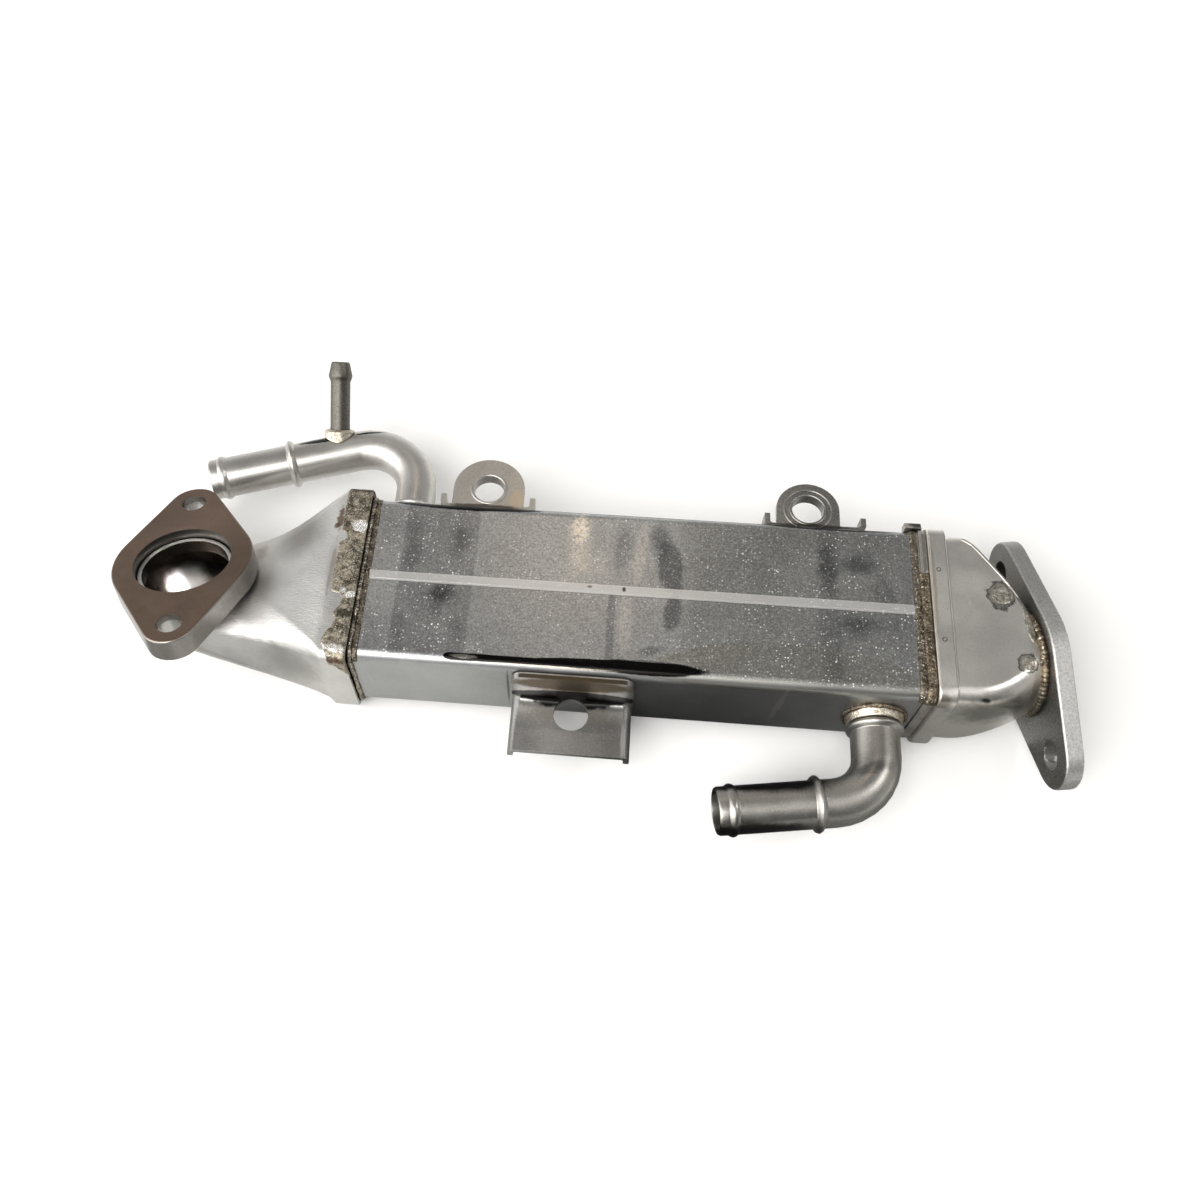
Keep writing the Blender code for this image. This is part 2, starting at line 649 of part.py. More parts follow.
def channel_side(low, high, inset, radius, depth, steps):
    """One skin of a folded channel: up one side, across the web and down the other."""
    left = arc((low + BRACKET_BEND, BRACKET_BEND), radius, 180, 270, steps)
    right = arc((high - BRACKET_BEND, BRACKET_BEND), radius, 270, 360, steps)
    return [(low + inset, depth)] + left + right + [(high - inset, depth)]


def channel_loop(low, high, top, depth, turn_down):
    """Sheet folded into a channel: a flat web with two bent sides, as (across, depth) pairs."""
    outside = channel_side(low, high, 0, BRACKET_BEND, depth, 6)
    inside = channel_side(low, high, SHEET, BRACKET_BEND - SHEET, depth, 3)
    sign = -1 if turn_down else 1
    return [(across, top + sign * down) for across, down in outside + inside[::-1]]


def make_front_bracket():
    """Shelf with two bent sides and a tab that stands against the jacket's front."""
    low = FRONT_BRACKET_X - FRONT_BRACKET_WIDTH / 2
    high = FRONT_BRACKET_X + FRONT_BRACKET_WIDTH / 2
    face = -JACKET_WIDTH / 2 - GAP
    tip = -JACKET_WIDTH / 2 - FRONT_BRACKET_REACH
    loop = channel_loop(low, high, FRONT_BRACKET_TOP, FRONT_BRACKET_DEPTH, True)
    bracket = prism_y("front_bracket", loop, tip, face, DARK_SATIN)
    corner = FRONT_TAB_CORNER
    tab = [(low, FRONT_BRACKET_TOP - BRACKET_BEND), (high, FRONT_BRACKET_TOP - BRACKET_BEND)]
    tab += arc((high - corner, FRONT_TAB_TOP - corner), corner, 0, 90, 6)
    tab += arc((low + corner, FRONT_TAB_TOP - corner), corner, 90, 180, 6)
    combine(bracket, prism_y("tab", tab, face - SHEET, face), "UNION")
    run = BRACKET_BEND * 0.6
    rise = SHEET * 0.8
    root = face - SHEET
    top = FRONT_BRACKET_TOP
    turns = [math.radians(a) for a in (60, 30, 0)]
    bend = [(root, top + rise)]
    bend += [(root - run * (1 - math.sin(t)), top + rise * (1 - math.cos(t))) for t in turns]
    bend += [(root - run, top - SHEET / 2), (face - SHEET / 2, top - SHEET / 2)]
    combine(bracket, prism_x("bend", bend, low + BRACKET_BEND, high - BRACKET_BEND), "UNION")
    hole = Vector((FRONT_BRACKET_X, -JACKET_WIDTH / 2 - FRONT_HOLE_OUT, FRONT_BRACKET_TOP))
    combine(bracket, rod("hole", hole, Vector((0, 0, 1)), FRONT_BRACKET_HOLE, -2 * SHEET, 2 * SHEET))
    return bracket


def make_ear_bracket(name, x, radius, out, past):
    """Base against the jacket's back with two wings, and a round ear with a drawn hole."""
    face = JACKET_WIDTH / 2 + GAP
    low = x - radius - EAR_SIDE_STEP - BRACKET_BEND
    high = x + radius + EAR_SIDE_STEP + BRACKET_BEND + past
    loop = channel_loop(low, high, face, EAR_WING_OUT, False)
    bracket = prism_z(name, loop, EAR_TOP - EAR_BASE_DEPTH, EAR_TOP, DARK_SATIN)
    center = (x, JACKET_WIDTH / 2 + out)
    ear = [(x - radius, face + SHEET / 2), (x + radius, face + SHEET / 2)] + arc(center, radius, 0, 180, 20)
    combine(bracket, prism_z("ear", ear, EAR_TOP - SHEET, EAR_TOP), "UNION")
    up = Vector((0, 0, 1))
    middle = Vector((center[0], center[1], EAR_TOP))
    collar_reach = min(EAR_HOLE + EAR_COLLAR, out - GAP)
    drawn = rod("drawn_collar", middle, up, collar_reach, -SHEET - EAR_COLLAR_DEPTH, -SHEET / 2)
    combine(bracket, drawn, "UNION")
    combine(bracket, rod("hole", middle, up, EAR_HOLE, -SHEET - 2 * EAR_COLLAR_DEPTH, SHEET))
    return bracket


def main():
    clear_scene()
    make_jacket()
    make_headers()
    make_tubes()
    make_hood("inlet_hood", inlet_sections(), 1, SATIN)
    make_hood("outlet_hood", outlet_sections(), 7, SATIN)
    inlet_sizes = (INLET_WAIST, INLET_TIP, INLET_BOLT_REACH, INLET_THICK, INLET_BORE, INLET_BOLT_HOLE)
    make_flange("inlet_flange", inlet_frame(), inlet_sizes, HEAT_BROWN)
    outlet_sizes = (OUTLET_WAIST, OUTLET_TIP, OUTLET_BOLT_REACH, OUTLET_THICK, OUTLET_BORE, OUTLET_BOLT_HOLE)
    make_flange("outlet_flange", outlet_frame(), outlet_sizes, DARK_SATIN)
    front = PipeRoute(FRONT_PIPE_X, -1, FRONT_PIPE_STRAIGHT, FRONT_PIPE_BEND, FRONT_PIPE_SLANT, FRONT_PIPE_FREE)
    make_pipe("front_water_pipe", front, FRONT_PIPE_RADIUS, FRONT_PIPE_STOP)
    make_collar("front_pipe_collar", FRONT_PIPE_X, -1, FRONT_PIPE_RADIUS)
    back = PipeRoute(BACK_PIPE_X, 1, BACK_PIPE_STRAIGHT, BACK_PIPE_BEND, BACK_PIPE_SLANT, BACK_PIPE_FREE)
    pipe = make_pipe("back_water_pipe", back, BACK_PIPE_RADIUS, BACK_PIPE_STOP)
    make_collar("back_pipe_collar", BACK_PIPE_X, 1, BACK_PIPE_RADIUS)
    make_nipple(back, pipe)
    make_front_bracket()
    make_ear_bracket("left_ear_bracket", LEFT_EAR_X, LEFT_EAR_RADIUS, LEFT_EAR_OUT, 0)
    make_ear_bracket("right_ear_bracket", RIGHT_EAR_X, RIGHT_EAR_RADIUS, RIGHT_EAR_OUT, RIGHT_WING_PAST)


main()
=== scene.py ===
import math

import bmesh
import bpy
from mathutils import Matrix, Vector
from mathutils.bvhtree import BVHTree


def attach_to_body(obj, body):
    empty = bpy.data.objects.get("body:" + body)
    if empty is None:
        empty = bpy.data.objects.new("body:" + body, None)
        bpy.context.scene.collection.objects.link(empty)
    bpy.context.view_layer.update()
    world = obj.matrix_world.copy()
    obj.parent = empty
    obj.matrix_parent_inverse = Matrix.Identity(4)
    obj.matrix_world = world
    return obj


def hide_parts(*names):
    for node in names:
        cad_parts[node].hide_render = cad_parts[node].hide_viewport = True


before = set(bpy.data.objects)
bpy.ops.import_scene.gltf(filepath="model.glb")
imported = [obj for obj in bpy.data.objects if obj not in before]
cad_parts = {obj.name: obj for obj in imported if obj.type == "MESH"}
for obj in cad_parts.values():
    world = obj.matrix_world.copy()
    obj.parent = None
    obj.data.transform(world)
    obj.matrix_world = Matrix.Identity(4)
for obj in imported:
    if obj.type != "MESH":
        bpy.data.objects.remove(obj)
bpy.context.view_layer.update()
mm = 0.001
print("frame loaded,", len(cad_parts), "nodes")


# Shader maths: a socket that takes part in Python expressions
class Wire:
    def __init__(self, graph, socket):
        self.graph = graph
        self.socket = socket

    def calc(self, operation, *values):
        return self.graph.node("ShaderNodeMath", {"operation": operation}, list(values))

    def __add__(self, other):
        return self.calc("ADD", self, other)

    def __sub__(self, other):
        return self.calc("SUBTRACT", self, other)

    def __rsub__(self, other):
        return self.calc("SUBTRACT", other, self)

    def __mul__(self, other):
        return self.calc("MULTIPLY", self, other)

    def __truediv__(self, other):
        return self.calc("DIVIDE", self, other)

    __radd__ = __add__
    __rmul__ = __mul__


class Graph:
    def __init__(self, tree):
        self.tree = tree
        self.tree.nodes.clear()

    # one way to add any node: its type, its settings, then the values or links of its sockets
    def node(self, kind, settings=None, sockets=None, out=0):
        made = self.tree.nodes.new(kind)
        for key, value in (settings or {}).items():
            setattr(made, key, value)
        pairs = enumerate(sockets) if isinstance(sockets, list) else (sockets or {}).items()
        for key, value in pairs:
            self.feed(made.inputs[key], value)
        return Wire(self, made.outputs[out]) if made.outputs else made

    def feed(self, socket, value):
        if value is None:
            return
        if isinstance(value, Wire):
            self.tree.links.new(value.socket, socket)
        elif socket.type == "RGBA" and len(value) == 3:
            socket.default_value = (*value, 1)
        else:
            socket.default_value = value

    def vector(self, operation, sockets, out=0):
        return self.node("ShaderNodeVectorMath", {"operation": operation}, sockets, out)

    def mixColor(self, share, first, second):
        settings = {"data_type": "RGBA", "clamp_factor": True}
        return self.node("ShaderNodeMix", settings, {0: share, 6: first, 7: second}, out=2)

    def mixValue(self, share, first, second):
        return self.node("ShaderNodeMix", {"data_type": "FLOAT"}, {0: share, 2: first, 3: second}, out=0)

    def noise(self, place, scale, detail=2.0, rough=0.5, stretch=None):
        if stretch:
            place = self.node("ShaderNodeMapping", None, {"Vector": place, "Scale": stretch})
        return self.node("ShaderNodeTexNoise", None,
                         {"Vector": place, "Scale": scale, "Detail": detail, "Roughness": rough})

    def smooth(self, value, low, high, start=0.0, end=1.0):
        return self.node("ShaderNodeMapRange", {"interpolation_type": "SMOOTHSTEP"},
                         [value, low, high, start, end])


class Finish(Graph):
    def __init__(self, name):
        self.material = bpy.data.materials.new(name)
        self.material.use_nodes = True
        super().__init__(self.material.node_tree)
        self.shader = self.tree.nodes.new("ShaderNodeBsdfPrincipled")
        end = self.tree.nodes.new("ShaderNodeOutputMaterial")
        self.tree.links.new(self.shader.outputs[0], end.inputs["Surface"])
        self.place = self.node("ShaderNodeTexCoord", out=3)
        split = self.tree.nodes.new("ShaderNodeSeparateXYZ")
        self.feed(split.inputs[0], self.place)
        self.x, self.y, self.z = (Wire(self, out) * 1000 for out in split.outputs)

    def put(self, **sockets):
        names = {"color": "Base Color", "rough": "Roughness", "metal": "Metallic"}
        for key, value in sockets.items():
            self.feed(self.shader.inputs[names[key]], value)

    def bump(self, height, strength, distance):
        normal = self.node("ShaderNodeBump", None, {"Strength": strength, "Distance": distance, "Height": height})
        self.feed(self.shader.inputs["Normal"], normal)

    # share of a value between two limits, with soft ends
    def band(self, value, low, high, soft):
        return self.smooth(value, low - soft, low + soft) * self.smooth(value, high + soft, high - soft)

    # round dots: cells of a given count per metre, of which a share holds a dot
    def dots(self, scale, share, small, large):
        away = self.node("ShaderNodeTexVoronoi", None, {"Vector": self.place, "Scale": scale})
        tint = self.node("ShaderNodeTexVoronoi", None, {"Vector": self.place, "Scale": scale}, out=1)
        chance = self.node("ShaderNodeSeparateColor", None, [tint])
        return self.smooth(away, large, small) * self.smooth(chance, 1.0 - share, 1.0 - share * 0.6)

    # a cloudy offset that makes edges ragged
    def sway(self, grain, amount):
        return (self.noise(self.place, grain, 3.0, 0.6) - 0.5) * amount

    # soft-edged blob at a place on the piece: its half sizes, its turn and how ragged its edge is
    def blob(self, at, size, turn, ragged, grain, edge):
        turned = tuple(math.radians(a) for a in turn)
        local = self.node("ShaderNodeMapping", {"vector_type": "TEXTURE"},
                          {"Vector": self.place, "Location": [a * mm for a in at], "Rotation": turned,
                           "Scale": [a * mm for a in size]})
        away = self.vector("LENGTH", [local], out=1)
        if ragged:
            away = away + self.sway(grain, 2.4 * ragged)
        return self.smooth(away, 1.0, 1.0 - edge)

    # marks laid one over the other: a blob has a place and half sizes, a strip has limits along X, Y and Z
    def marks(self, color, rough, marks):
        for mark in marks:
            ragged, grain = mark["ragged"], mark["grain"]
            if "x" in mark:
                soft = mark["soft"]
                shift = self.sway(grain, ragged)
                cover = self.band(self.x + shift, *mark["x"], soft) * self.band(self.y + shift, *mark["y"], soft)
                cover = cover * self.band(self.z, *mark["z"], 0.1)
            else:
                cover = self.blob(mark["at"], mark["size"], mark["turn"], ragged, grain, mark["edge"])
            cover = cover * mark["cover"]
            color = self.mixColor(cover, color, mark["color"])
            if mark["rough"] is not None:
                rough = self.mixValue(cover, rough, mark["rough"])
        return color, rough


def newObject(name, data):
    thing = bpy.data.objects.new(name, data)
    bpy.context.scene.collection.objects.link(thing)
    return thing


def newPiece(name, points, edges, faces):
    mesh = bpy.data.meshes.new(name)
    mesh.from_pydata([tuple(p) for p in points], edges, faces)
    return newObject(name, mesh)


def attach(piece):
    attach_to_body(piece, "root")


def rayTree(piece):
    mesh = piece.data
    return BVHTree.FromPolygons([v.co for v in mesh.vertices], [p.vertices for p in mesh.polygons])


def applyModifiers(piece):
    graph = bpy.context.evaluated_depsgraph_get()
    mesh = bpy.data.meshes.new_from_object(piece.evaluated_get(graph))
    piece.modifiers.clear()
    piece.data = mesh


# Millimetres and degrees: how near points are welded, which faces count as one, and the width of broken edges
dressSettings = {"weld": 0.002, "flat": 0.5, "pairFaces": 50, "pairShapes": 60, "edge": 0.25, "segments": 2,
                 "sharp": 35, "weight": 80}


# A copy of a node's mesh with its flat facets joined again
def copyMesh(name, settings):
    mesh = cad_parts[name].data.copy()
    piece = newObject(name + "_dressed", mesh)
    work = bmesh.new()
    work.from_mesh(mesh)
    bmesh.ops.remove_doubles(work, verts=work.verts, dist=settings["weld"] * mm)
    bmesh.ops.dissolve_limit(work, angle_limit=math.radians(settings["flat"]), verts=work.verts, edges=work.edges)
    bmesh.ops.triangulate(work, faces=[f for f in work.faces if len(f.verts) > 4])
    bmesh.ops.join_triangles(work, faces=work.faces, angle_face_threshold=math.radians(settings["pairFaces"]),
                             angle_shape_threshold=math.radians(settings["pairShapes"]),
                             cmp_seam=False, cmp_sharp=False)
    work.to_mesh(mesh)
    work.free()
    if "custom_normal" in mesh.attributes:
        mesh.attributes.remove(mesh.attributes["custom_normal"])
    return piece


# A node in its finish: small edges broken, round sides shaded smooth, large flat faces kept flat
def dressNode(name, finish, settings):
    piece = copyMesh(name, settings)
    sharp = math.radians(settings["sharp"])
    bevel = piece.modifiers.new("edges", "BEVEL")
    bevel.width = settings["edge"] * mm
    bevel.segments = settings["segments"]
    bevel.limit_method = "ANGLE"
    bevel.angle_limit = sharp
    bevel.use_clamp_overlap = True
    applyModifiers(piece)
    piece.data.shade_smooth()
    piece.data.set_sharp_from_angle(angle=sharp)
    weigh = piece.modifiers.new("normals", "WEIGHTED_NORMAL")
    weigh.mode = "FACE_AREA"
    weigh.weight = settings["weight"]
    weigh.keep_sharp = True
    applyModifiers(piece)
    piece.data.materials.clear()
    piece.data.materials.append(finish.material)
    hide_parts(name)
    attach(piece)
    return piece


# Rays from an inner face, one straight and some leaning, and how many have to meet the same piece again
insideSettings = {"start": 0.2, "lean": 1.5, "leaning": 6, "over": 2, "reach": 0.05}


def lineInside(piece, finish, settings):
    piece.data.materials.append(finish.material)
    tree = rayTree(piece)
    for face in piece.data.polygons:
        start = face.center + face.normal * settings["start"] * mm
        lean = face.normal + face.normal.orthogonal().normalized() * settings["lean"]
        turns = [math.radians(360 / settings["leaning"] * i) for i in range(settings["leaning"])]
        ways = [face.normal] + [Matrix.Rotation(turn, 3, face.normal) @ lean for turn in turns]
        met = sum(tree.ray_cast(start, way, settings["reach"])[0] is not None for way in ways)
        if met > settings["over"]:
            face.material_index = 1


# Camera, fitted to the photograph
cameraSettings = {
    "rows": ((0.99493, -0.07084, 0.07137, -0.016124),
             (0.09506, 0.89414, -0.43758, -0.195664),
             (-0.03281, 0.44214, 0.89634, 0.350119),
             (0, 0, 0, 1)),
    "lens": 33.397, "sensor": 36, "shiftX": 0.0793, "shiftY": 0.0578,
}


def placeCamera(settings):
    data = bpy.data.cameras.new("camera")
    data.lens = settings["lens"]
    data.sensor_width = settings["sensor"]
    data.shift_x = settings["shiftX"]
    data.shift_y = settings["shiftY"]
    data.clip_start = 0.01
    camera = newObject("camera", data)
    camera.matrix_world = Matrix(settings["rows"])
    bpy.context.scene.camera = camera


placeCamera(cameraSettings)

# Sheets that lie flat, in millimetres
floorSettings = {"level": -21.8, "x": (-2500, 2500), "y": (-2500, 2500), "color": (0.95, 0.95, 0.945),
                 "cloud": 3.0, "dim": 0.985, "rough": 0.85}
cardSettings = {"level": -21.4, "x": (-260, 190), "y": (-330, -30), "cloud": 14, "drift": 20, "warm": 0.97,
                "rough": 0.9, "shades": ((-200, 0.28), (-150, 0.30), (-112, 0.62), (-60, 0.60), (5, 0.022),
                                         (40, 0.035), (85, 0.17), (130, 0.24))}


def makeSheet(name, settings, finish):
    (left, right), (front, back) = settings["x"], settings["y"]
    places = ((left, front), (right, front), (right, back), (left, back))
    sheet = newPiece(name, [(x * mm, y * mm, settings["level"] * mm) for x, y in places], [], [(0, 1, 2, 3)])
    sheet.data.materials.append(finish.material)
    return sheet


def makeFloor(settings):
    finish = Finish("floorPaint")
    cloud = finish.noise(finish.place, settings["cloud"])
    dim = tuple(c * settings["dim"] for c in settings["color"])
    finish.put(color=finish.mixColor(cloud, dim, settings["color"]), rough=settings["rough"])
    floor = makeSheet("floor", settings, finish)


# A dark card on the floor before the part, seen only in its reflections, as a studio's black flag is
def makeCard(settings):
    finish = Finish("flagCloth")
    drift = settings["drift"]
    place = finish.x + finish.noise(finish.place, settings["cloud"]) * drift - drift / 2
    tones = [(stop, (shade, shade, shade * settings["warm"])) for stop, shade in settings["shades"]]
    start, color = tones[0]
    for stop, tone in tones[1:]:
        color = finish.mixColor(finish.smooth(place, start, stop), color, tone)
        start = stop
    finish.put(color=color, rough=settings["rough"])
    card = makeSheet("black_flag", settings, finish)
    card.visible_camera = card.visible_diffuse = card.visible_shadow = card.visible_transmission = False


makeFloor(floorSettings)
makeCard(cardSettings)

# Light: a grey room with brighter walls, a dark zone, boxes of light, and three lamps
roomSettings = {
    "ceiling": 0.36, "wall": 0.92, "rise": (0.05, 0.75), "right": 0.7, "across": (-0.4, 0.7),
    "outer": 1.5, "inner": 0.6, "tint": (1.0, 0.99, 0.97),
    "darkZone": {"toward": (0.32, -0.94, 0.08), "wide": 0.62, "shade": 0.10},
    "boxes": ({"toward": (-0.80, -0.30, 0.46), "wide": 0.46, "power": 2.8},
              {"toward": (-0.24, -0.86, 0.45), "wide": 0.20, "power": 1.1},
              {"toward": (0.47, -0.24, 0.85), "wide": 0.24, "power": 0.7},
              {"toward": (0.66, 0.11, 0.75), "wide": 0.12, "power": 8.0}),
}
lampSettings = (
    {"name": "ceiling_lamp", "at": (-0.03, 0.85, 1.27), "aim": (-0.02, 0.02, 0.0), "size": 0.10, "watts": 0.5,
     "color": (1.0, 0.86, 0.70)},
    {"name": "key_box", "at": (-0.5, -1.1, 1.6), "aim": (0, 0, 0), "size": 1.2, "watts": 26.0,
     "color": (1.0, 0.99, 0.97)},
    {"name": "bore_lamp", "at": (0.078, 0.106, 0.28), "aim": (-0.168, 0.006, -0.006), "size": 0.024,
     "watts": 0.006, "color": (1.0, 0.99, 0.97), "spread": 3},
)


def lightRoom(settings):
    world = bpy.data.worlds.new("room")
    bpy.context.scene.world = world
    world.use_nodes = True
    graph = Graph(world.node_tree)
    way = graph.node("ShaderNodeTexCoord", out=0)
    split = graph.tree.nodes.new("ShaderNodeSeparateXYZ")
    graph.feed(split.inputs[0], way)
    side, height = Wire(graph, split.outputs[0]), Wire(graph, split.outputs[2])
    level = graph.mixValue(graph.smooth(height, *settings["rise"]), settings["wall"], settings["ceiling"])
    level = level * graph.smooth(side, *settings["across"], 1.0, settings["right"])
    zone = settings["darkZone"]
    for box in (zone, *settings["boxes"]):
        toward = tuple(Vector(box["toward"]).normalized())
        facing = graph.vector("DOT_PRODUCT", [way, toward], out=1)
        outer, inner = (math.cos(box["wide"] * settings[edge]) for edge in ("outer", "inner"))
        near = graph.smooth(facing, outer, inner)
        level = level * (1 - near * (1 - zone["shade"])) if box is zone else level + near * box["power"]
    red, green, blue = settings["tint"]
    shade = graph.node("ShaderNodeCombineColor", None, [level * red, level * green, level * blue])
    back = graph.tree.nodes.new("ShaderNodeBackground")
    graph.feed(back.inputs["Color"], shade)
    end = graph.tree.nodes.new("ShaderNodeOutputWorld")
    graph.tree.links.new(back.outputs[0], end.inputs[0])


def hangLamp(settings):
    light = bpy.data.lights.new(settings["name"], "AREA")
    light.size = settings["size"]
    light.energy = settings["watts"]
    light.color = settings["color"]
    light.spread = math.radians(settings.get("spread", 180))
    lamp = newObject(settings["name"], light)
    lamp.location = settings["at"]
    aim = Vector(settings["aim"]) - Vector(settings["at"])
    lamp.rotation_euler = aim.to_track_quat("-Z", "Y").to_euler()


lightRoom(roomSettings)
for lamp in lampSettings:
    hangLamp(lamp)
bpy.context.scene.view_settings.view_transform = "Standard"
print("camera, floor and light set")


# Geometry Nodes: weld beads and braze deposits
class Growth(Graph):
    def __init__(self, name, inputs):
        super().__init__(bpy.data.node_groups.new(name, "GeometryNodeTree"))
        face = self.tree.interface
        face.new_socket("Geometry", in_out="INPUT", socket_type="NodeSocketGeometry")
        for label, value in inputs.items():
            kind = "NodeSocketInt" if isinstance(value, int) else "NodeSocketFloat"
            face.new_socket(label, in_out="INPUT", socket_type=kind).default_value = value
        face.new_socket("Finish", in_out="INPUT", socket_type="NodeSocketMaterial")
        face.new_socket("Geometry", in_out="OUTPUT", socket_type="NodeSocketGeometry")
        self.entry = self.tree.nodes.new("NodeGroupInput")
        self.exit = self.tree.nodes.new("NodeGroupOutput")

    def take(self, label):
        return Wire(self, self.entry.outputs[label])

    def seeded(self):
        place = self.node("GeometryNodeInputPosition")
        seed = self.take("Seed")
        step = self.node("ShaderNodeCombineXYZ", None, [seed * 0.173, seed * 0.091, 0.0])
        return self.vector("ADD", [place, step])

    def along(self, direction, amount):
        return self.vector("SCALE", {0: direction, "Scale": amount})

    def close(self, shape):
        solid = self.node("GeometryNodeRealizeInstances", None, {"Geometry": shape})
        coated = self.node("GeometryNodeSetMaterial", None, {"Geometry": solid, "Material": self.take("Finish")})
        self.feed(self.exit.inputs["Geometry"], coated)
        return self.tree


# a lumpy bead with weld ripples, swept along a path of edges
def beadTree():
    g = Growth("weldBead", {"Radius": 0.8 * mm, "Step": 0.35 * mm, "Ripple Pitch": 1.6 * mm, "Ripple": 0.1,
                            "Lump Scale": 260.0, "Lump": 0.35, "Grain Scale": 1500.0, "Grain": 0.2 * mm,
                            "Seed": 1})
    path = g.node("GeometryNodeMeshToCurve", None, {"Mesh": g.take("Geometry")})
    path = g.node("GeometryNodeResampleCurve", {"mode": "LENGTH"}, {"Curve": path, "Length": g.take("Step")})
    run = g.node("GeometryNodeSplineParameter", out=1)
    phase = run / g.take("Ripple Pitch") * math.tau
    wave = phase.calc("SINE", phase)
    lump = (g.noise(g.seeded(), g.take("Lump Scale"), 2.0) - 0.5) * 2
    size = 1 + wave * g.take("Ripple") + lump * g.take("Lump")
    ring = g.node("GeometryNodeCurvePrimitiveCircle", None, {"Resolution": 10, "Radius": g.take("Radius")})
    tube = g.node("GeometryNodeCurveToMesh", None,
                  {"Curve": path, "Profile Curve": ring, "Scale": size, "Fill Caps": True})
    normal = g.node("GeometryNodeInputNormal")
    rough = (g.noise(g.seeded(), g.take("Grain Scale"), 3.0, 0.6) - 0.5) * g.take("Grain")
    return g.close(g.node("GeometryNodeSetPosition", None, {"Geometry": tube, "Offset": g.along(normal, rough)}))


# a ragged deposit: the strip's skin rises where its "cover" is high and sinks into the steel elsewhere
def depositTree():
    g = Growth("brazeDeposit", {"Height": 0.35 * mm, "Sink": 0.3 * mm, "Patch Scale": 330.0, "Ragged": 1.1,
                                "Grain Scale": 900.0, "Seed": 1})
    cover = g.node("GeometryNodeInputNamedAttribute", {"data_type": "FLOAT"}, {"Name": "cover"})
    lift = g.node("GeometryNodeInputNamedAttribute", {"data_type": "FLOAT"}, {"Name": "lift"})
    place = g.seeded()
    patch = cover + (g.noise(place, g.take("Patch Scale"), 3.0, 0.6) - 0.5) * g.take("Ragged")
    mask = g.smooth(patch, 0.42, 0.58)
    grain = g.noise(place, g.take("Grain Scale"), 4.0, 0.65)
    rise = mask * g.take("Height") * (0.25 + grain * 1.5) - (1 - mask) * g.take("Sink")
    normal = g.node("GeometryNodeInputNormal")
    moved = {"Geometry": g.take("Geometry"), "Offset": g.along(normal, rise * lift)}
    return g.close(g.node("GeometryNodeSetPosition", None, moved))


trees = {"bead": beadTree(), "deposit": depositTree()}


def grow(piece, tree, finish, values):
    modifier = piece.modifiers.new("growth", "NODES")
    modifier.node_group = trees[tree]
    for item in trees[tree].interface.items_tree:
        if item.in_out == "INPUT" and item.name in values:
            modifier[item.identifier] = values[item.name]
        elif item.in_out == "INPUT" and item.name == "Finish":
            modifier[item.identifier] = finish.material
    applyModifiers(piece)
    piece.data.shade_smooth()


# A bead along a row of points in millimetres
def addBead(name, points, finish, values, closed=True):
    count = len(points)
    edges = [(i, (i + 1) % count) for i in range(count if closed else count - 1)]
    piece = newPiece(name, [Vector(p) * mm for p in points], edges, [])
    grow(piece, "bead", finish, values)
    attach(piece)


def cornerArc(center, radius, start, end, steps=6):
    turns = [math.radians(start + (end - start) * i / steps) for i in range(steps + 1)]
    return [(center[0] + radius * math.cos(t), center[1] + radius * math.sin(t)) for t in turns]


# Box outline as (y, z) pairs in millimetres, from the middle of the back side over the top
def boxOutline(halfWide, halfHigh, corner):
    loop = []
    for index, (sy, sz) in enumerate(((1, 1), (-1, 1), (-1, -1), (1, -1))):
        middle = (sy * (halfWide - corner), sz * (halfHigh - corner))
        loop += cornerArc(middle, corner, index * 90, index * 90 + 90)
    return loop


# Depths of a slab's skin and underside below the steel, in millimetres
slabSettings = {"rest": 0.06, "wrapSink": 0.5, "dropSink": 0.55, "rimRows": 2}


# A thin closed slab over a grid of points, with the "lift" and "cover" that the deposit reads
def newSlab(name, tops, lows, across, covers):
    count = len(tops)
    rows = count // across
    faces, lifts = [], []
    for i in range(rows):
        for j in range(across):
            a = i * across + j
            edge = min(i, rows - 1 - i, j, across - 1 - j)
            lifts.append(min(edge / slabSettings["rimRows"], 1.0))
            if i < rows - 1 and j < across - 1:
                faces.append((a, a + 1, a + across + 1, a + across))
                faces.append(tuple(count + k for k in (a, a + across, a + across + 1, a + 1)))
    rim = list(range(across)) + [i * across + across - 1 for i in range(1, rows)]
    rim += [count - across + j for j in range(across - 2, -1, -1)] + [i * across for i in range(rows - 2, 0, -1)]
    faces += [(a, count + a, count + b, b) for a, b in zip(rim, rim[1:] + rim[:1])]
    piece = newPiece(name, tops + lows, [], faces)
    work = bmesh.new()
    work.from_mesh(piece.data)
    bmesh.ops.recalc_face_normals(work, faces=work.faces)
    work.to_mesh(piece.data)
    work.free()
    for label, values in (("lift", lifts + [0.0] * count), ("cover", covers * 2)):
        piece.data.attributes.new(label, "FLOAT", "POINT").data.foreach_set("value", values)
    return piece


# A slab that wraps round a box outline between two places along X
def wrapStrip(name, outline, xs, cover):
    tops, lows, covers = [], [], []
    for i, (y, z) in enumerate(outline):
        before, after = outline[max(i - 1, 0)], outline[min(i + 1, len(outline) - 1)]
        run = Vector((after[0] - before[0], after[1] - before[1])).normalized()
        out = Vector((run.y, -run.x))
        if out.dot(Vector((y, z))) < 0:
            out = -out
        for rows, depth in ((tops, slabSettings["rest"]), (lows, slabSettings["wrapSink"])):
            rows += [Vector((x, y - out.x * depth, z - out.y * depth)) * mm for x in xs]
        covers += [cover(x, y, z) for x in xs]
    return newSlab(name, tops, lows, len(xs), covers)


def subdivide(points, step):
    fine = [points[0]]
    for a, b in zip(points, points[1:]):
        parts = max(1, round(math.dist(a, b) / step))
        fine += [tuple(a[k] + (b[k] - a[k]) * i / parts for k in range(len(a))) for i in range(1, parts + 1)]
    return fine


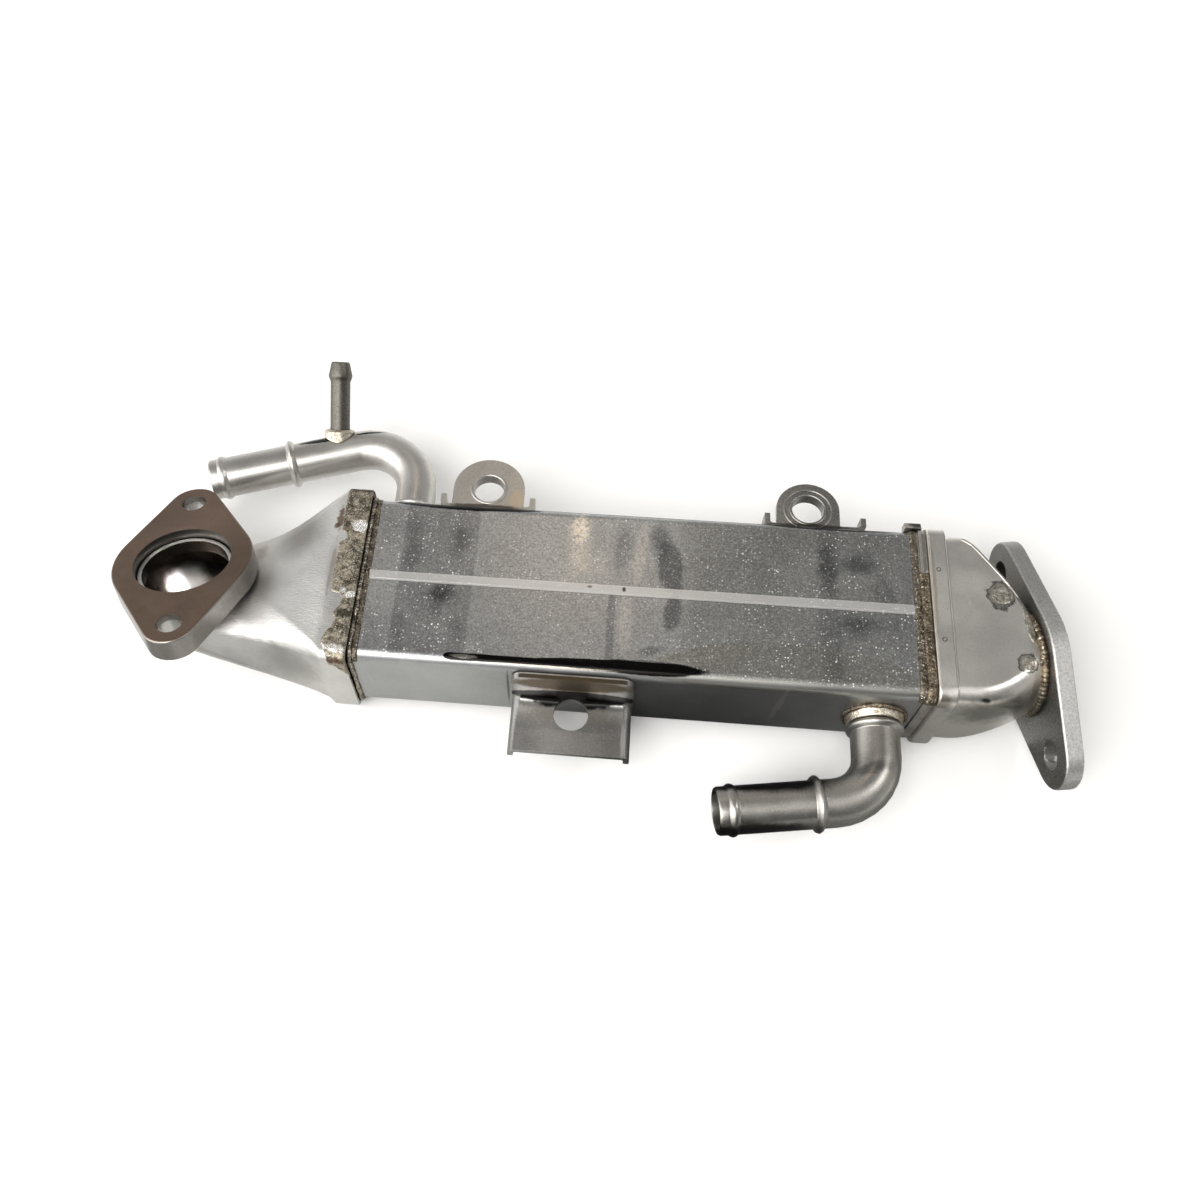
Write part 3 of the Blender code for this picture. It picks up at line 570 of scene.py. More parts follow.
# Marks in millimetres: a spot has a place and half sizes, a strip has limits along X, Y and Z. Both then have
# a colour, how well it covers, how soft and how ragged the edge is, and the ragged edge's noise per metre.
def spot(at, size, color, cover=0.8, edge=0.5, ragged=0.3, grain=260, turn=(0, 0, 0), rough=None):
    return {"at": at, "size": size, "color": color, "cover": cover, "edge": edge, "ragged": ragged,
            "grain": grain, "turn": turn, "rough": rough}


def strip(x, y, z, color, cover=0.8, soft=0.12, ragged=0.3, grain=260, rough=None):
    return {"x": x, "y": y, "z": z, "color": color, "cover": cover, "soft": soft, "ragged": ragged,
            "grain": grain, "rough": rough}


# A spot on the jacket's top
def topSpot(at, size, *rest, **more):
    return spot((*at, 17.6), (*size, 4), *rest, **more)


def steelLook(dark, light, rough, **more):
    return {"dark": dark, "light": light, "rough": rough, **more}


def brazeLook(scale, filler, bright, pit, rough, **more):
    return {"scale": scale, "filler": filler, "bright": bright, "pit": pit, "rough": rough, **more}


# What a steel look has unless it says otherwise: grain per metre, flecks and relief, in millimetres
steelBase = {"cloud": 45, "grain": 2400, "speckle": 0.3, "fleck": (0.75, 0.74, 0.72), "sparkle": 0, "under": (),
             "bump": 0.25, "depth": 0.12}
sparkleBase = {"drift": 150, "mottle": 1500, "shadow": 0.5, "sheen": (0.80, 0.80, 0.79), "cell": 1000,
               "fine": 0.42, "spark": (0.95, 0.95, 0.94), "dull": 0.2, "bare": 0.75}


# Steel: clouded and flecked, with a side of its own where the look names one, a sparkle of painted glints and
# sheen, and marks on top
def steel(name, look, stains=()):
    f = Finish(name)
    look = {**steelBase, **look}
    cloud = f.noise(f.place, look["cloud"], 3.0, 0.55)
    grain = f.noise(f.place, look["grain"], 2.0, 0.6)
    color = f.mixColor(f.smooth(cloud, 0.32, 0.68), look["dark"], look["light"])
    color = f.mixColor(f.smooth(grain, 0.25, 0.75) * look["speckle"], color, look["fleck"])
    rough = f.mixValue(f.smooth(cloud, 0.3, 0.7), look["rough"] - 0.05, look["rough"] + 0.05)
    metal = 1.0
    if "side" in look:
        side = {"grain": 500, "low": 0.9, **look["side"]}
        lean = f.node("ShaderNodeTexCoord", out=1)
        facing = f.vector("DOT_PRODUCT", [lean, side["axis"]], out=1)
        edge = f.smooth(facing.calc("ABSOLUTE", facing), 0.97, 0.55)
        cast = f.smooth(f.noise(f.place, side["grain"], 4.0, 0.7), 0.36, 0.62)
        shade = f.mixColor(cast, tuple(c * side["low"] for c in side["color"]), side["color"])
        color, rough = f.mixColor(edge, color, shade), f.mixValue(edge, rough, side["rough"])
    color, rough = f.marks(color, rough, look["under"])
    # painted sparkle: a darker mottle, a lighter mottle as painted sheen, and white dots as painted glints
    if look["sparkle"]:
        base, sparkle = sparkleBase, look["sparkle"]
        drift = f.smooth(f.noise(f.place, base["drift"], 3.0, 0.6), 0.34, 0.66)
        if "sparkleFrom" in look:
            sparkle = f.smooth(f.z, look["sparkleFrom"] - 0.5, look["sparkleFrom"]) * sparkle
        mottle = f.noise(f.place, base["mottle"], 3.0, 0.75)
        shadow = tuple(c * base["shadow"] for c in look["dark"])
        color = f.mixColor(f.smooth(mottle, 0.50, 0.38) * 0.5 * sparkle, color, shadow)
        color = f.mixColor(f.smooth(mottle, 0.52, 0.62) * 0.26 * sparkle, color, base["sheen"])
        lit = f.dots(base["cell"], 0.42, 0.12, 0.38) * (0.2 + drift * 0.6) * sparkle
        lit = lit + f.dots(base["cell"] * base["fine"], 0.20, 0.06, 0.18) * drift * sparkle
        color = f.mixColor(lit, color, base["spark"])
        rough, metal = rough + lit * base["dull"], metal - lit * base["bare"]
    color, rough = f.marks(color, rough, stains)
    f.put(color=color, rough=rough, metal=metal)
    height = cloud * 0.3 + grain * 0.5
    if "ripple" in look:
        height = height + f.noise(f.place, 1000, 3.0, 0.5, stretch=look["ripple"]) * 0.8
    f.bump(height, look["bump"], look["depth"] * mm)
    return f


brazeBase = {"patch": 330, "fine": 1700, "brightFrom": 0.52, "bump": 0.6, "depth": 0.25, "metal": 0.95}


# Braze metal: dark scale, golden filler and bright tops, mottled finely
def braze(name, look, stains=()):
    f = Finish(name)
    look = {**brazeBase, **look}
    patch = f.noise(f.place, look["patch"], 4.0, 0.65)
    fine = f.noise(f.place, look["fine"], 4.0, 0.7)
    color = f.mixColor(f.smooth(patch, 0.34, 0.64), look["scale"], look["filler"])
    color = f.mixColor(f.smooth(fine, look["brightFrom"], 0.66), color, look["bright"])
    color = f.mixColor(f.smooth(fine, 0.46, 0.34) * 0.85, color, look["pit"])
    rough = f.mixValue(f.smooth(fine, 0.4, 0.65), look["rough"] + 0.15, look["rough"])
    color, rough = f.marks(color, rough, stains)
    f.put(color=color, rough=rough, metal=look["metal"])
    f.bump(patch * 0.4 + fine, look["bump"], look["depth"] * mm)
    return f


# Near-black for black streaks and marks; on the front bracket it is a painted shadow
blackMarkAndShadow = (0.012, 0.011, 0.010)

jacketPatchesAndHighlight = [
    strip((-83.2, -57), (-32, 31), (17, 18.2), (0.11, 0.11, 0.115), 0.36, 0.4, 0.6, 90),
    topSpot((-79.5, 10), (5, 22), (0.10, 0.10, 0.105), 0.6, 0.9, 0.5, 110),
    topSpot((-80.5, -22), (4, 11), (0.10, 0.10, 0.105), 0.4, 0.9, 0.5, 110),
    topSpot((-68, -7), (9, 8), (0.05, 0.05, 0.055), 0.9, 0.9, 0.6, 120),
    topSpot((-63, 17), (5, 14), (0.09, 0.09, 0.095), 0.6, 0.9, 0.6, 120),
    topSpot((-61, -18), (4, 10), (0.10, 0.10, 0.105), 0.35, 0.9, 0.6, 120),
    strip((-9.8, -7.2), (-27, -2), (17, 18.2), (0.12, 0.135, 0.155), 0.5, 0.5, 1.5, 120),
    topSpot((-6.0, 16), (4.5, 15), (0.13, 0.14, 0.155), 0.5, 0.8, 0.4, 120, turn=(0, 0, -8)),
    topSpot((0.6, 16), (2.6, 17), (0.62, 0.60, 0.575), 0.75, 0.5, 0.12, turn=(0, 0, -5)),
    topSpot((-3.6, -13), (3.6, 16), (0.62, 0.605, 0.58), 0.65, 0.7, 0.2),
    topSpot((7.5, 21), (5.0, 10), (0.07, 0.075, 0.085), 0.6, 0.7, 0.3, 120),
    topSpot((11.0, 10), (5.4, 14), (0.07, 0.075, 0.085), 0.72, 0.4, 0.25, 120, turn=(0, 0, 9)),
    topSpot((12.2, -8), (3.8, 9), (0.07, 0.075, 0.085), 0.7, 0.4, 0.3, 120, turn=(0, 0, -6)),
    topSpot((5.5, -22.5), (6, 2.6), (0.08, 0.08, 0.085), 0.6, 0.7, 0.4, 160, turn=(0, 0, 14)),
    strip((16, 96), (-34, 34), (17, 18.2), (0.16, 0.165, 0.15), 0.42, 7, 4, 40),
    strip((61.8, 68.5), (-31, 31), (17, 18.2), (0.08, 0.09, 0.09), 0.3, 0.9, 2.4, 160),
    topSpot((65, 14), (4.5, 13), (0.05, 0.055, 0.058), 0.7, 0.7, 0.5, 130),
    topSpot((76, 17), (8, 7), (0.06, 0.07, 0.068), 0.75, 0.8, 0.6, 110),
    topSpot((75, -7), (9, 7), (0.06, 0.07, 0.068), 0.75, 0.8, 0.6, 110),
    topSpot((83, 6), (5, 10), (0.09, 0.095, 0.09), 0.4, 0.8, 0.6, 110),
    topSpot((66, -23), (4.5, 8), (0.07, 0.08, 0.08), 0.6, 0.6, 0.4, 110),
    topSpot((50, -31), (47, 15), (0.26, 0.245, 0.205), 0.5, 0.05, 0.05, 90),
    # painted highlight: a warm glow on the top's back half, where a lamp's reflection lies
    spot((-21, 18, 17.6), (6, 17, 6), (0.80, 0.72, 0.62), 0.45, 0.9, 0.2),
    topSpot((-21, 24), (4.6, 8), (1.0, 0.92, 0.80), 0.95, 0.9, 0.9, 800),
]
jacketLook = steelLook((0.345, 0.352, 0.358), (0.43, 0.435, 0.435), 0.35, sparkle=1.0, sparkleFrom=17.3,
                       speckle=0.22, cloud=30, bump=0.3, under=jacketPatchesAndHighlight)
jacketStainsAndPaintedShade = [
    strip((-96, 96), (-2.0, 1.8), (17.4, 18), (0.92, 0.915, 0.905), 0.7, rough=0.42),
    strip((-96, 96), (1.45, 1.8), (17.4, 18), (0.95, 0.95, 0.94), 0.35),
    strip((-96, 96), (-2.3, -2.0), (17.4, 18), (0.16, 0.16, 0.155), 0.45),
    strip((-61.5, -10), (-30.9, -28.3), (15, 18), blackMarkAndShadow, 1, 0.2, 0.7, 70, rough=0.18),
    spot((-61.5, -29.6, 17.5), (2.6, 1.4, 2.2), blackMarkAndShadow, 1, 0.2, 0.05, rough=0.18),
    spot((-12, -29.2, 17.5), (24, 2.2, 2.2), blackMarkAndShadow, 1, 0.15, 0.1, 120, rough=0.18),
    spot((4, -29.1, 17.5), (22, 3.0, 2.2), blackMarkAndShadow, 1, 0.2, 0.12, 150, rough=0.18),
    spot((-57, -29.4, 17.5), (5.5, 0.8, 1.2), (0.42, 0.40, 0.36), 0.75, 0.4),
    spot((-30, -30.9, 17.2), (30, 0.4, 1.2), (0.5, 0.45, 0.38), 0.5),
    spot((6, -26.6, 17.6), (15, 0.5, 1.2), (0.55, 0.54, 0.52), 0.5),
    spot((0, 32.6, 16.0), (97, 1.9, 2.2), blackMarkAndShadow, 0.95, 0.3, 0.12, rough=0.4),
    spot((-62, 31.6, 16.6), (29, 3.0, 3.2), blackMarkAndShadow, 1, 0.15, 0.12, rough=0.4),
    spot((66, 31.8, 16.4), (28, 2.3, 2.8), blackMarkAndShadow, 1, 0.2, 0.12, rough=0.4),
    spot((-16.5, 0.6, 17.7), (1.2, 0.8, 1), (0.2, 0.16, 0.11)),
    spot((-4.6, 0.4, 17.7), (0.9, 1.3, 1), (0.05, 0.05, 0.05), 0.9),
    # painted shade: a dark line on the front face beside the front bracket's left edge
    spot((-42.0, -32.6, 3), (0.6, 1, 16), (0.05, 0.048, 0.045), 0.7, ragged=0.1),
    spot((50, -32.6, 3), (1.6, 1, 14), (0.66, 0.65, 0.63), 0.6, turn=(0, 5, 0)),
]
pipeLook = steelLook((0.46, 0.445, 0.42), (0.56, 0.545, 0.52), 0.36, speckle=0.2, bump=0.12, sparkle=0.25)
backPipeStains = [
    spot((-122, 64.4, 5.4), (12, 1.9, 3.0), blackMarkAndShadow, 1, 0.15, 0.12, turn=(0, 0, 15), rough=0.2),
    spot((-107, 68.4, 5.4), (9, 1.2, 2.2), blackMarkAndShadow, 1, 0.15, 0.12, turn=(0, 0, 14), rough=0.2),
]
# painted shade: the front pipe's look is a darker copy of the pipe look
frontPipeShadedLook = dict(pipeLook, dark=(0.31, 0.295, 0.27), light=(0.39, 0.375, 0.345))
frontPipeStainsAndShade = [
    # painted shade: the pipe's upper and lower sides darkened nearly to black
    spot((42, -61.8, 3.0), (36, 6.4, 8.5), (0.006, 0.005, 0.004), 0.97, 0.4, 0.1),
    spot((42, -77.6, 0.0), (36, 6.2, 7.5), (0.015, 0.013, 0.01), 0.92, 0.45, 0.1),
    spot((62, -58, 8), (34, 3.4, 3), (0.10, 0.098, 0.095), 0.7, turn=(0, 0, 12)),
]
nippleLook = steelLook((0.06, 0.055, 0.047), (0.085, 0.078, 0.068), 0.42, speckle=0.25, bump=0.15,
                       fleck=(0.5, 0.48, 0.44))
inletHoodLook = steelLook((0.58, 0.57, 0.555), (0.70, 0.69, 0.67), 0.42, speckle=0.2, bump=0.6, depth=0.25,
                          ripple=(0.45, 1.6, 1.6), sparkle=0.15)
inletHoodStainsAndPaintedLight = [
    spot((-106.4, 21, 19.0), (1.9, 5.5, 4), (0.15, 0.085, 0.05), 0.85, ragged=0.8, grain=420),
    spot((-107.6, 18.3, 19.0), (1.4, 1.8, 4), (0.12, 0.075, 0.045), 0.85, ragged=0.6, grain=420),
    spot((-106.5, 0, 19.0), (1.0, 14, 4), (0.28, 0.21, 0.15), 0.4, ragged=0.6),
    spot((-137.5, 13, 10), (5, 7, 9), (0.22, 0.16, 0.11), 0.6, 0.9),
    # painted shade on the hood's top and back and on its lower front side, then a painted highlight on its front
    # towards the flange
    spot((-121, 17, 13), (18, 16, 12), (0.30, 0.29, 0.275), 0.9, 0.9, 0.1),
    spot((-118, -29, 2), (20, 9, 13), (0.40, 0.39, 0.37), 0.7, 0.8),
    spot((-129, -15, 12), (16, 13, 12), (1.0, 0.99, 0.97), 0.9, 0.9, 0.1),
    spot((-99, -35.2, 17.5), (4.5, 1.8, 3), (0.15, 0.10, 0.06)),
    spot((-100, 34.5, 18), (5.5, 2, 4), (0.13, 0.09, 0.06)),
]
hoodInsideLook = steelLook((0.13, 0.10, 0.08), (0.20, 0.16, 0.13), 0.30, speckle=0.1, bump=0.15)
hoodInsidePaintedGlow = [
    # painted highlight: a white glow on the bore's inner floor
    spot((-168, 6, -8), (11, 11, 9), (0.98, 0.97, 0.95), 1, 0.6, 0.2, 150, rough=0.42),
]
outletHoodLook = steelLook((0.77, 0.745, 0.70), (0.87, 0.84, 0.79), 0.33, speckle=0.2, bump=0.25, sparkle=0.3)
outletHoodStainsAndPaintedShade = [
    strip((104.5, 104.95), (-36, 36), (10, 22), (0.22, 0.21, 0.19), 0.6),
    strip((105.6, 106.1), (-36, 36), (10, 22), (0.25, 0.24, 0.22), 0.5),
    spot((101.8, 15.4, 19.5), (1.0, 1.0, 1), (0.08, 0.07, 0.06), 0.9, 0.3, 0),
    spot((101.8, -11.7, 19.5), (1.0, 1.0, 1), (0.08, 0.07, 0.06), 0.9, 0.3, 0),
    spot((100, -34, 17), (3.5, 4.5, 4), (0.16, 0.12, 0.075), 0.6),
    spot((99.5, 10, 20), (1.6, 24, 3), (0.42, 0.37, 0.29), 0.5),
    # painted shade: darker along the back rim of the body
    spot((120, 26, 17), (16, 3.0, 6), (0.30, 0.28, 0.25), 0.6, 0.9, 0.1, turn=(0, 0, -40)),
    spot((122.4, 7.8, 17.6), (5.2, 5.8, 3), (0.06, 0.055, 0.045), 0.85, 0.12, 0.45, 330),
    spot((122.4, 7.8, 17.6), (4.6, 5.2, 3), (0.50, 0.475, 0.42), 0.9, 0.2, 0.45, 330),
    spot((128.9, -17.4, 17.4), (3.9, 3.9, 3), (0.06, 0.055, 0.045), 0.85, 0.14, 0.45, 360),
    spot((128.9, -17.4, 17.4), (3.3, 3.3, 3), (0.52, 0.495, 0.44), 0.9, 0.2, 0.45, 360),
    # painted shade on the body's lower front side, and again along the back rim
    spot((118, -31, 8), (20, 8.5, 12), (0.27, 0.255, 0.225), 0.88, 0.8),
    spot((112, 30, 17), (9, 3.0, 5), (0.32, 0.30, 0.27), 0.5, 0.9, 0.1),
    spot((102.5, -36.5, 14), (3.5, 2.5, 5), (0.07, 0.055, 0.04)),
    spot((114.6, -31.0, 14.5), (2.8, 0.8, 2), blackMarkAndShadow, 0.9),
    spot((131, -18, 10), (2.5, 12, 8), (0.33, 0.26, 0.17), 0.5, turn=(0, 0, 10)),
]
rimLook = dict(outletHoodLook, dark=(0.34, 0.325, 0.30), light=(0.44, 0.425, 0.395))
inletFlangeLook = {"dark": (0.125, 0.085, 0.062), "light": (0.175, 0.12, 0.09), "rough": 0.40, "speckle": 0.18,
                   "fleck": (0.34, 0.26, 0.21), "bump": 0.2,
                   "side": {"axis": (-0.05968, 0.31068, 0.94864), "color": (0.33, 0.315, 0.295), "rough": 0.33}}
inletFlangeStainsAndHighlight = [
    # painted highlight: light grey bolt-hole walls with a bright rim on the face
    spot((-165.9, 30.1, 3.7), (4.8, 4.8, 6), (0.62, 0.61, 0.59), 0.9, 0.05, 0, rough=0.25),
    spot((-154.6, -31.8, 24.6), (4.8, 4.8, 6), (0.62, 0.61, 0.59), 0.9, 0.05, 0, rough=0.25),
    spot((-140, -4, 17), (16, 24, 12), (0.085, 0.068, 0.055), 0.45, 0.9),
    spot((-160.2, -0.9, 14.1), (20.5, 20.5, 4.6), (0.03, 0.024, 0.018), 0.95, 0.15, 0, turn=(-18.1, -3.6, 0)),
]
outletFlangeLook = {"dark": (0.088, 0.084, 0.076), "light": (0.14, 0.134, 0.123), "rough": 0.42, "speckle": 0.3,
                    "sparkle": 0.3,
                    "side": {"axis": (0.98832, 0.14947, 0.02967), "color": (0.60, 0.59, 0.575), "rough": 0.5,
                             "low": 0.74, "grain": 1300}}
outletFlangeStains = [
    strip((110, 160), (2, 70), (-60, 60), (0.24, 0.232, 0.22), 0.5, 14),
    spot((132.5, 26.5, 2), (7, 5.1, 5.1), (0.02, 0.019, 0.017), 0.95, 0.05, 0, rough=0.6),
    spot((142.9, -41.0, 0), (7, 5.2, 5.2), (0.12, 0.112, 0.10), edge=0.05, ragged=0.3, grain=300, rough=0.5),
]
plateLook = steelLook((0.30, 0.295, 0.285), (0.42, 0.41, 0.40), 0.36, speckle=0.3, sparkle=0.3)
earLook = steelLook((0.40, 0.38, 0.35), (0.52, 0.50, 0.465), 0.36, speckle=0.3, sparkle=0.3)
earStains = [
    spot((-45, 38, 13), (4, 5, 3), (0.62, 0.50, 0.34), 0.5),
    spot((-56, 34, 13), (17, 1.4, 3), (0.06, 0.05, 0.042), 0.85),
]
rightEarLook = dict(earLook, dark=(0.19, 0.183, 0.168), light=(0.27, 0.26, 0.24))
rightEarStains = [
    spot((60, 34, 13), (18, 1.4, 3), (0.06, 0.05, 0.042), 0.85),
]
bracketStainsAndPaintedLight = [
    strip((-42, 2), (-37, -32), (15.5, 16.6), (0.075, 0.055, 0.032), 0.9, ragged=0),
    # painted highlight: a bright line on the tab's top edge
    strip((-38, -1), (-33.5, -33.0), (15.5, 16.6), (0.95, 0.93, 0.88), 0.5, ragged=0),
    spot((-19.8, -35, 12), (24, 4, 5.2), (0.10, 0.075, 0.045), 0.95, 0.3, 0.12, rough=0.45),
    # painted shadow: a black band low on the tab, where it meets the plate
    spot((-19.8, -35.5, 3.0), (24, 4.5, 4.6), blackMarkAndShadow, 0.97, 0.15, 0.12, rough=0.3),
    spot((-22, -35.5, 7.5), (19, 4.5, 0.5), (0.30, 0.23, 0.13), 0.6, ragged=0.2),
    # darker over the plate's right part, then a painted highlight along its right bend
    spot((-4, -48, -1), (10, 14, 3), (0.16, 0.15, 0.135), 0.5, 0.9),
    spot((-1.6, -48, -1), (1.0, 9, 5), (0.78, 0.77, 0.75), 0.6),
]
tubeLook = steelLook((0.30, 0.28, 0.26), (0.42, 0.40, 0.37), 0.4, speckle=0.2)
headerLook = steelLook((0.30, 0.28, 0.25), (0.50, 0.47, 0.43), 0.42, speckle=0.4, cloud=220)
headerStains = [
    spot((-96, 0, 17.5), (3, 36, 3), (0.05, 0.035, 0.02), 0.9),
    spot((98.1, 0, 17.5), (1.0, 36, 3), (0.03, 0.022, 0.015), 0.95, ragged=0.1),
    spot((96, 35, 15), (4, 4, 4), (0.03, 0.025, 0.02), 0.9),
]

skirtBraze = brazeLook((0.085, 0.072, 0.05), (0.42, 0.37, 0.285), (0.92, 0.89, 0.82), (0.02, 0.017, 0.012),
                       0.34, bump=0.9, fine=2000, brightFrom=0.55)
skirtBrazeStains = [
    spot((-99.0, 17.9, 20), (3.3, 3.2, 3), (0.97, 0.96, 0.93), 1, 0.3, 0.35, 420, rough=0.22),
    spot((-98.2, -10.2, 20), (2.9, 1.5, 3), (0.95, 0.94, 0.91), 1, 0.3, 0.35, 420, turn=(0, 0, 18), rough=0.22),
    spot((-100.9, -8.8, 20), (1.5, 1.3, 3), (0.93, 0.92, 0.89), 0.9, ragged=0.5, grain=420, rough=0.22),
    spot((-100.5, -31.0, 20), (4.8, 1.8, 3), (0.86, 0.84, 0.79), 0.85, ragged=0.8, grain=600, rough=0.24),
    spot((-99.3, -17.4, 20), (3.9, 2.4, 3), (0.04, 0.04, 0.026), 0.9, ragged=0.8, grain=600, rough=0.5),
    spot((-100, 34.0, 19), (6, 2.4, 4), (0.06, 0.045, 0.03), 0.85, rough=0.4),
    spot((-100, -35.5, 19), (6, 1.6, 4), (0.14, 0.075, 0.05), 0.7, rough=0.4),
]
jointBraze = brazeLook((0.07, 0.055, 0.038), (0.42, 0.37, 0.29), (0.95, 0.93, 0.88), (0.02, 0.016, 0.012),
                       0.34, bump=0.8, brightFrom=0.53)
speckledBraze = brazeLook((0.078, 0.063, 0.046), (0.22, 0.188, 0.145), (0.90, 0.88, 0.82),
                          (0.02, 0.016, 0.012), 0.3, bump=0.9, fine=1500, brightFrom=0.58)
goldBraze = brazeLook((0.088, 0.068, 0.046), (0.26, 0.212, 0.15), (0.80, 0.76, 0.67), (0.02, 0.015, 0.01),
                      0.3, bump=0.9, fine=1500, brightFrom=0.59)
goldStains = [
    spot((133, -34, 8), (9, 15, 22), (0.13, 0.115, 0.09), 0.85, 0.4),
    spot((132, 12, 8), (9, 12, 22), (0.05, 0.04, 0.028), edge=0.6),
]
scarBraze = brazeLook((0.20, 0.187, 0.15), (0.46, 0.435, 0.375), (0.72, 0.70, 0.64), (0.07, 0.06, 0.045),
                      0.38, bump=0.7, fine=900, patch=600)
collarBraze = brazeLook((0.34, 0.29, 0.22), (0.66, 0.60, 0.50), (0.95, 0.92, 0.86), (0.08, 0.06, 0.04), 0.26,
                        bump=0.5)

finishes = {
    "water_jacket": steel("jacketSteel", jacketLook, jacketStainsAndPaintedShade),
    "inlet_hood": steel("inletHoodSteel", inletHoodLook, inletHoodStainsAndPaintedLight),
    "outlet_hood": steel("outletHoodSteel", outletHoodLook, outletHoodStainsAndPaintedShade),
    "front_water_pipe": steel("frontPipeSteel", frontPipeShadedLook, frontPipeStainsAndShade),
    "back_water_pipe": steel("backPipeSteel", pipeLook, backPipeStains),
    "vent_nipple": steel("nippleSteel", nippleLook),
    "inlet_flange": steel("inletFlangeSteel", inletFlangeLook, inletFlangeStainsAndHighlight),
    "outlet_flange": steel("outletFlangeSteel", outletFlangeLook, outletFlangeStains),
    "front_bracket": steel("frontBracketSteel", plateLook, bracketStainsAndPaintedLight),
    "left_ear_bracket": steel("leftEarSteel", earLook, earStains),
    "right_ear_bracket": steel("rightEarSteel", rightEarLook, rightEarStains),
    "inlet_header": steel("inletHeaderSteel", headerLook, headerStains),
    "outlet_header": steel("outletHeaderSteel", headerLook, headerStains),
    "front_pipe_collar": braze("frontCollarBraze", collarBraze),
    "back_pipe_collar": braze("backCollarBraze", collarBraze),
    "nipple_saddle": braze("saddleBraze", collarBraze),
    "gas_tubes": steel("tubeSteel", tubeLook),
}
skirtFinish = braze("skirtBraze", skirtBraze, skirtBrazeStains)
jointFinish = braze("jointBraze", jointBraze)
speckledFinish = braze("speckledBraze", speckledBraze)
goldFinish = braze("goldBraze", goldBraze, goldStains)
scarFinish = braze("scarBraze", scarBraze)
pipFinish = steel("pipSteel", outletHoodLook)
rimFinish = steel("rimSteel", rimLook)
dressed = {}
for name in sorted(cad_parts):
    if name.startswith("gas_"):
        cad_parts[name].data.materials.clear()
        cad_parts[name].data.materials.append(finishes["gas_tubes"].material)
    else:
        dressed[name] = dressNode(name, finishes[name], dressSettings)
hoodInsideFinish = steel("hoodInsideSteel", hoodInsideLook, hoodInsidePaintedGlow)
lineInside(dressed["inlet_hood"], hoodInsideFinish, insideSettings)
print("pieces dressed")

# Inlet joint: a ragged braze deposit over the skirt, and a bead in the seam beside it
skirtSettings = {"halfWide": 34.9, "halfHigh": 19.9, "corner": 3.5, "from": -96.5, "to": -105.6, "step": 0.3,
                 "fades": ((15, 8, 0.8), (15, -5, 1.0)), "slope": 0.6,
                 "reach": ((-37, 5.0), (-34, 6.6), (-31, 8.0), (-27.5, 9.0), (-25, 7.7), (-23, 6.4), (-20, 5.6),
                           (-17.5, 6.6), (-15, 4.9), (-12.5, 4.4), (-10, 5.2), (-9, 8.4), (-6, 9.4), (0, 9.7),
                           (6, 9.9), (10, 9.4), (11.3, 7.8), (12.8, 6.2), (14.4, 6.6), (15.8, 8.4), (19, 9.2),
                           (28, 9.9), (37, 9.2))}


# How far the deposit reaches from the joint: a table across the skirt's top, less on its sides
def skirtCover(x, y, z):
    table = skirtSettings["reach"]
    reach = table[0][1]
    for (low, first), (high, second) in zip(table, table[1:]):
        if low <= y:
            reach = first + (second - first) * min(1.0, (y - low) / (high - low))
    top, low, share = skirtSettings["fades"][y > 0]
    if z < top and y != 0:
        reach *= max(0.0, (z - low) / (top - low)) * share
    return max(0.0, min(1.0, 0.5 + (reach - (skirtSettings["from"] - x)) * skirtSettings["slope"]))


def makeSkirtBraze(settings):
    loop = boxOutline(settings["halfWide"], settings["halfHigh"], settings["corner"])
    half = settings["halfWide"]
    over = [(half, -6)] + [p for p in loop if p[1] > 0] + [(-half, 4)]
    outline = subdivide(over, settings["step"])
    count = round((settings["from"] - settings["to"]) / settings["step"])
    xs = [settings["from"] - settings["step"] * i for i in range(count + 1)]
    piece = wrapStrip("skirt_braze", outline, xs, skirtCover)
    grow(piece, "deposit", skirtFinish, {"Seed": 4, "Height": 0.42 * mm, "Ragged": 0.9})
    attach(piece)


makeSkirtBraze(skirtSettings)
inletJoint = [(-95.7, y, z) for y, z in boxOutline(32.9, 17.9, 4.2)]
addBead("inlet_joint_bead", inletJoint, jointFinish,
        {"Radius": 0.78 * mm, "Lump": 0.75, "Lump Scale": 420.0, "Seed": 3, "Grain": 0.55 * mm})

# Outlet joint: one speckled column right round, and a golden one beside it on the front half of the top
jointColumns = {"halfWide": 32.7, "halfHigh": 17.7, "corner": 4.0, "step": 0.28, "above": 8, "cover": 1.3,
                "columns": (
    {"name": "outlet_joint_braze", "slot": "outlet_header", "from": 93.3, "to": 96.1, "lift": 0.0,
     "reach": (-40, 40), "finish": speckledFinish, "seed": 11, "height": 0.7, "ragged": 1.1},
    {"name": "outlet_header_braze", "slot": "outlet_header", "from": 95.5, "to": 98.9, "lift": 0.75,
     "reach": (-34, 14.5), "finish": goldFinish, "seed": 12, "height": 0.7, "ragged": 1.1},
    {"name": "outlet_seam_strip", "slot": "outlet_header", "from": 96.2, "to": 98.8, "lift": 0.95,
     "reach": (13.5, 33), "finish": rimFinish, "seed": 13, "height": 0.3, "ragged": 0.1},
    {"name": "inlet_fringe_braze", "slot": "inlet_header", "from": -95.3, "to": -93.0, "lift": -0.05,
     "reach": (-40, 40), "finish": speckledFinish, "seed": 14, "height": 0.45, "ragged": 2.0})}


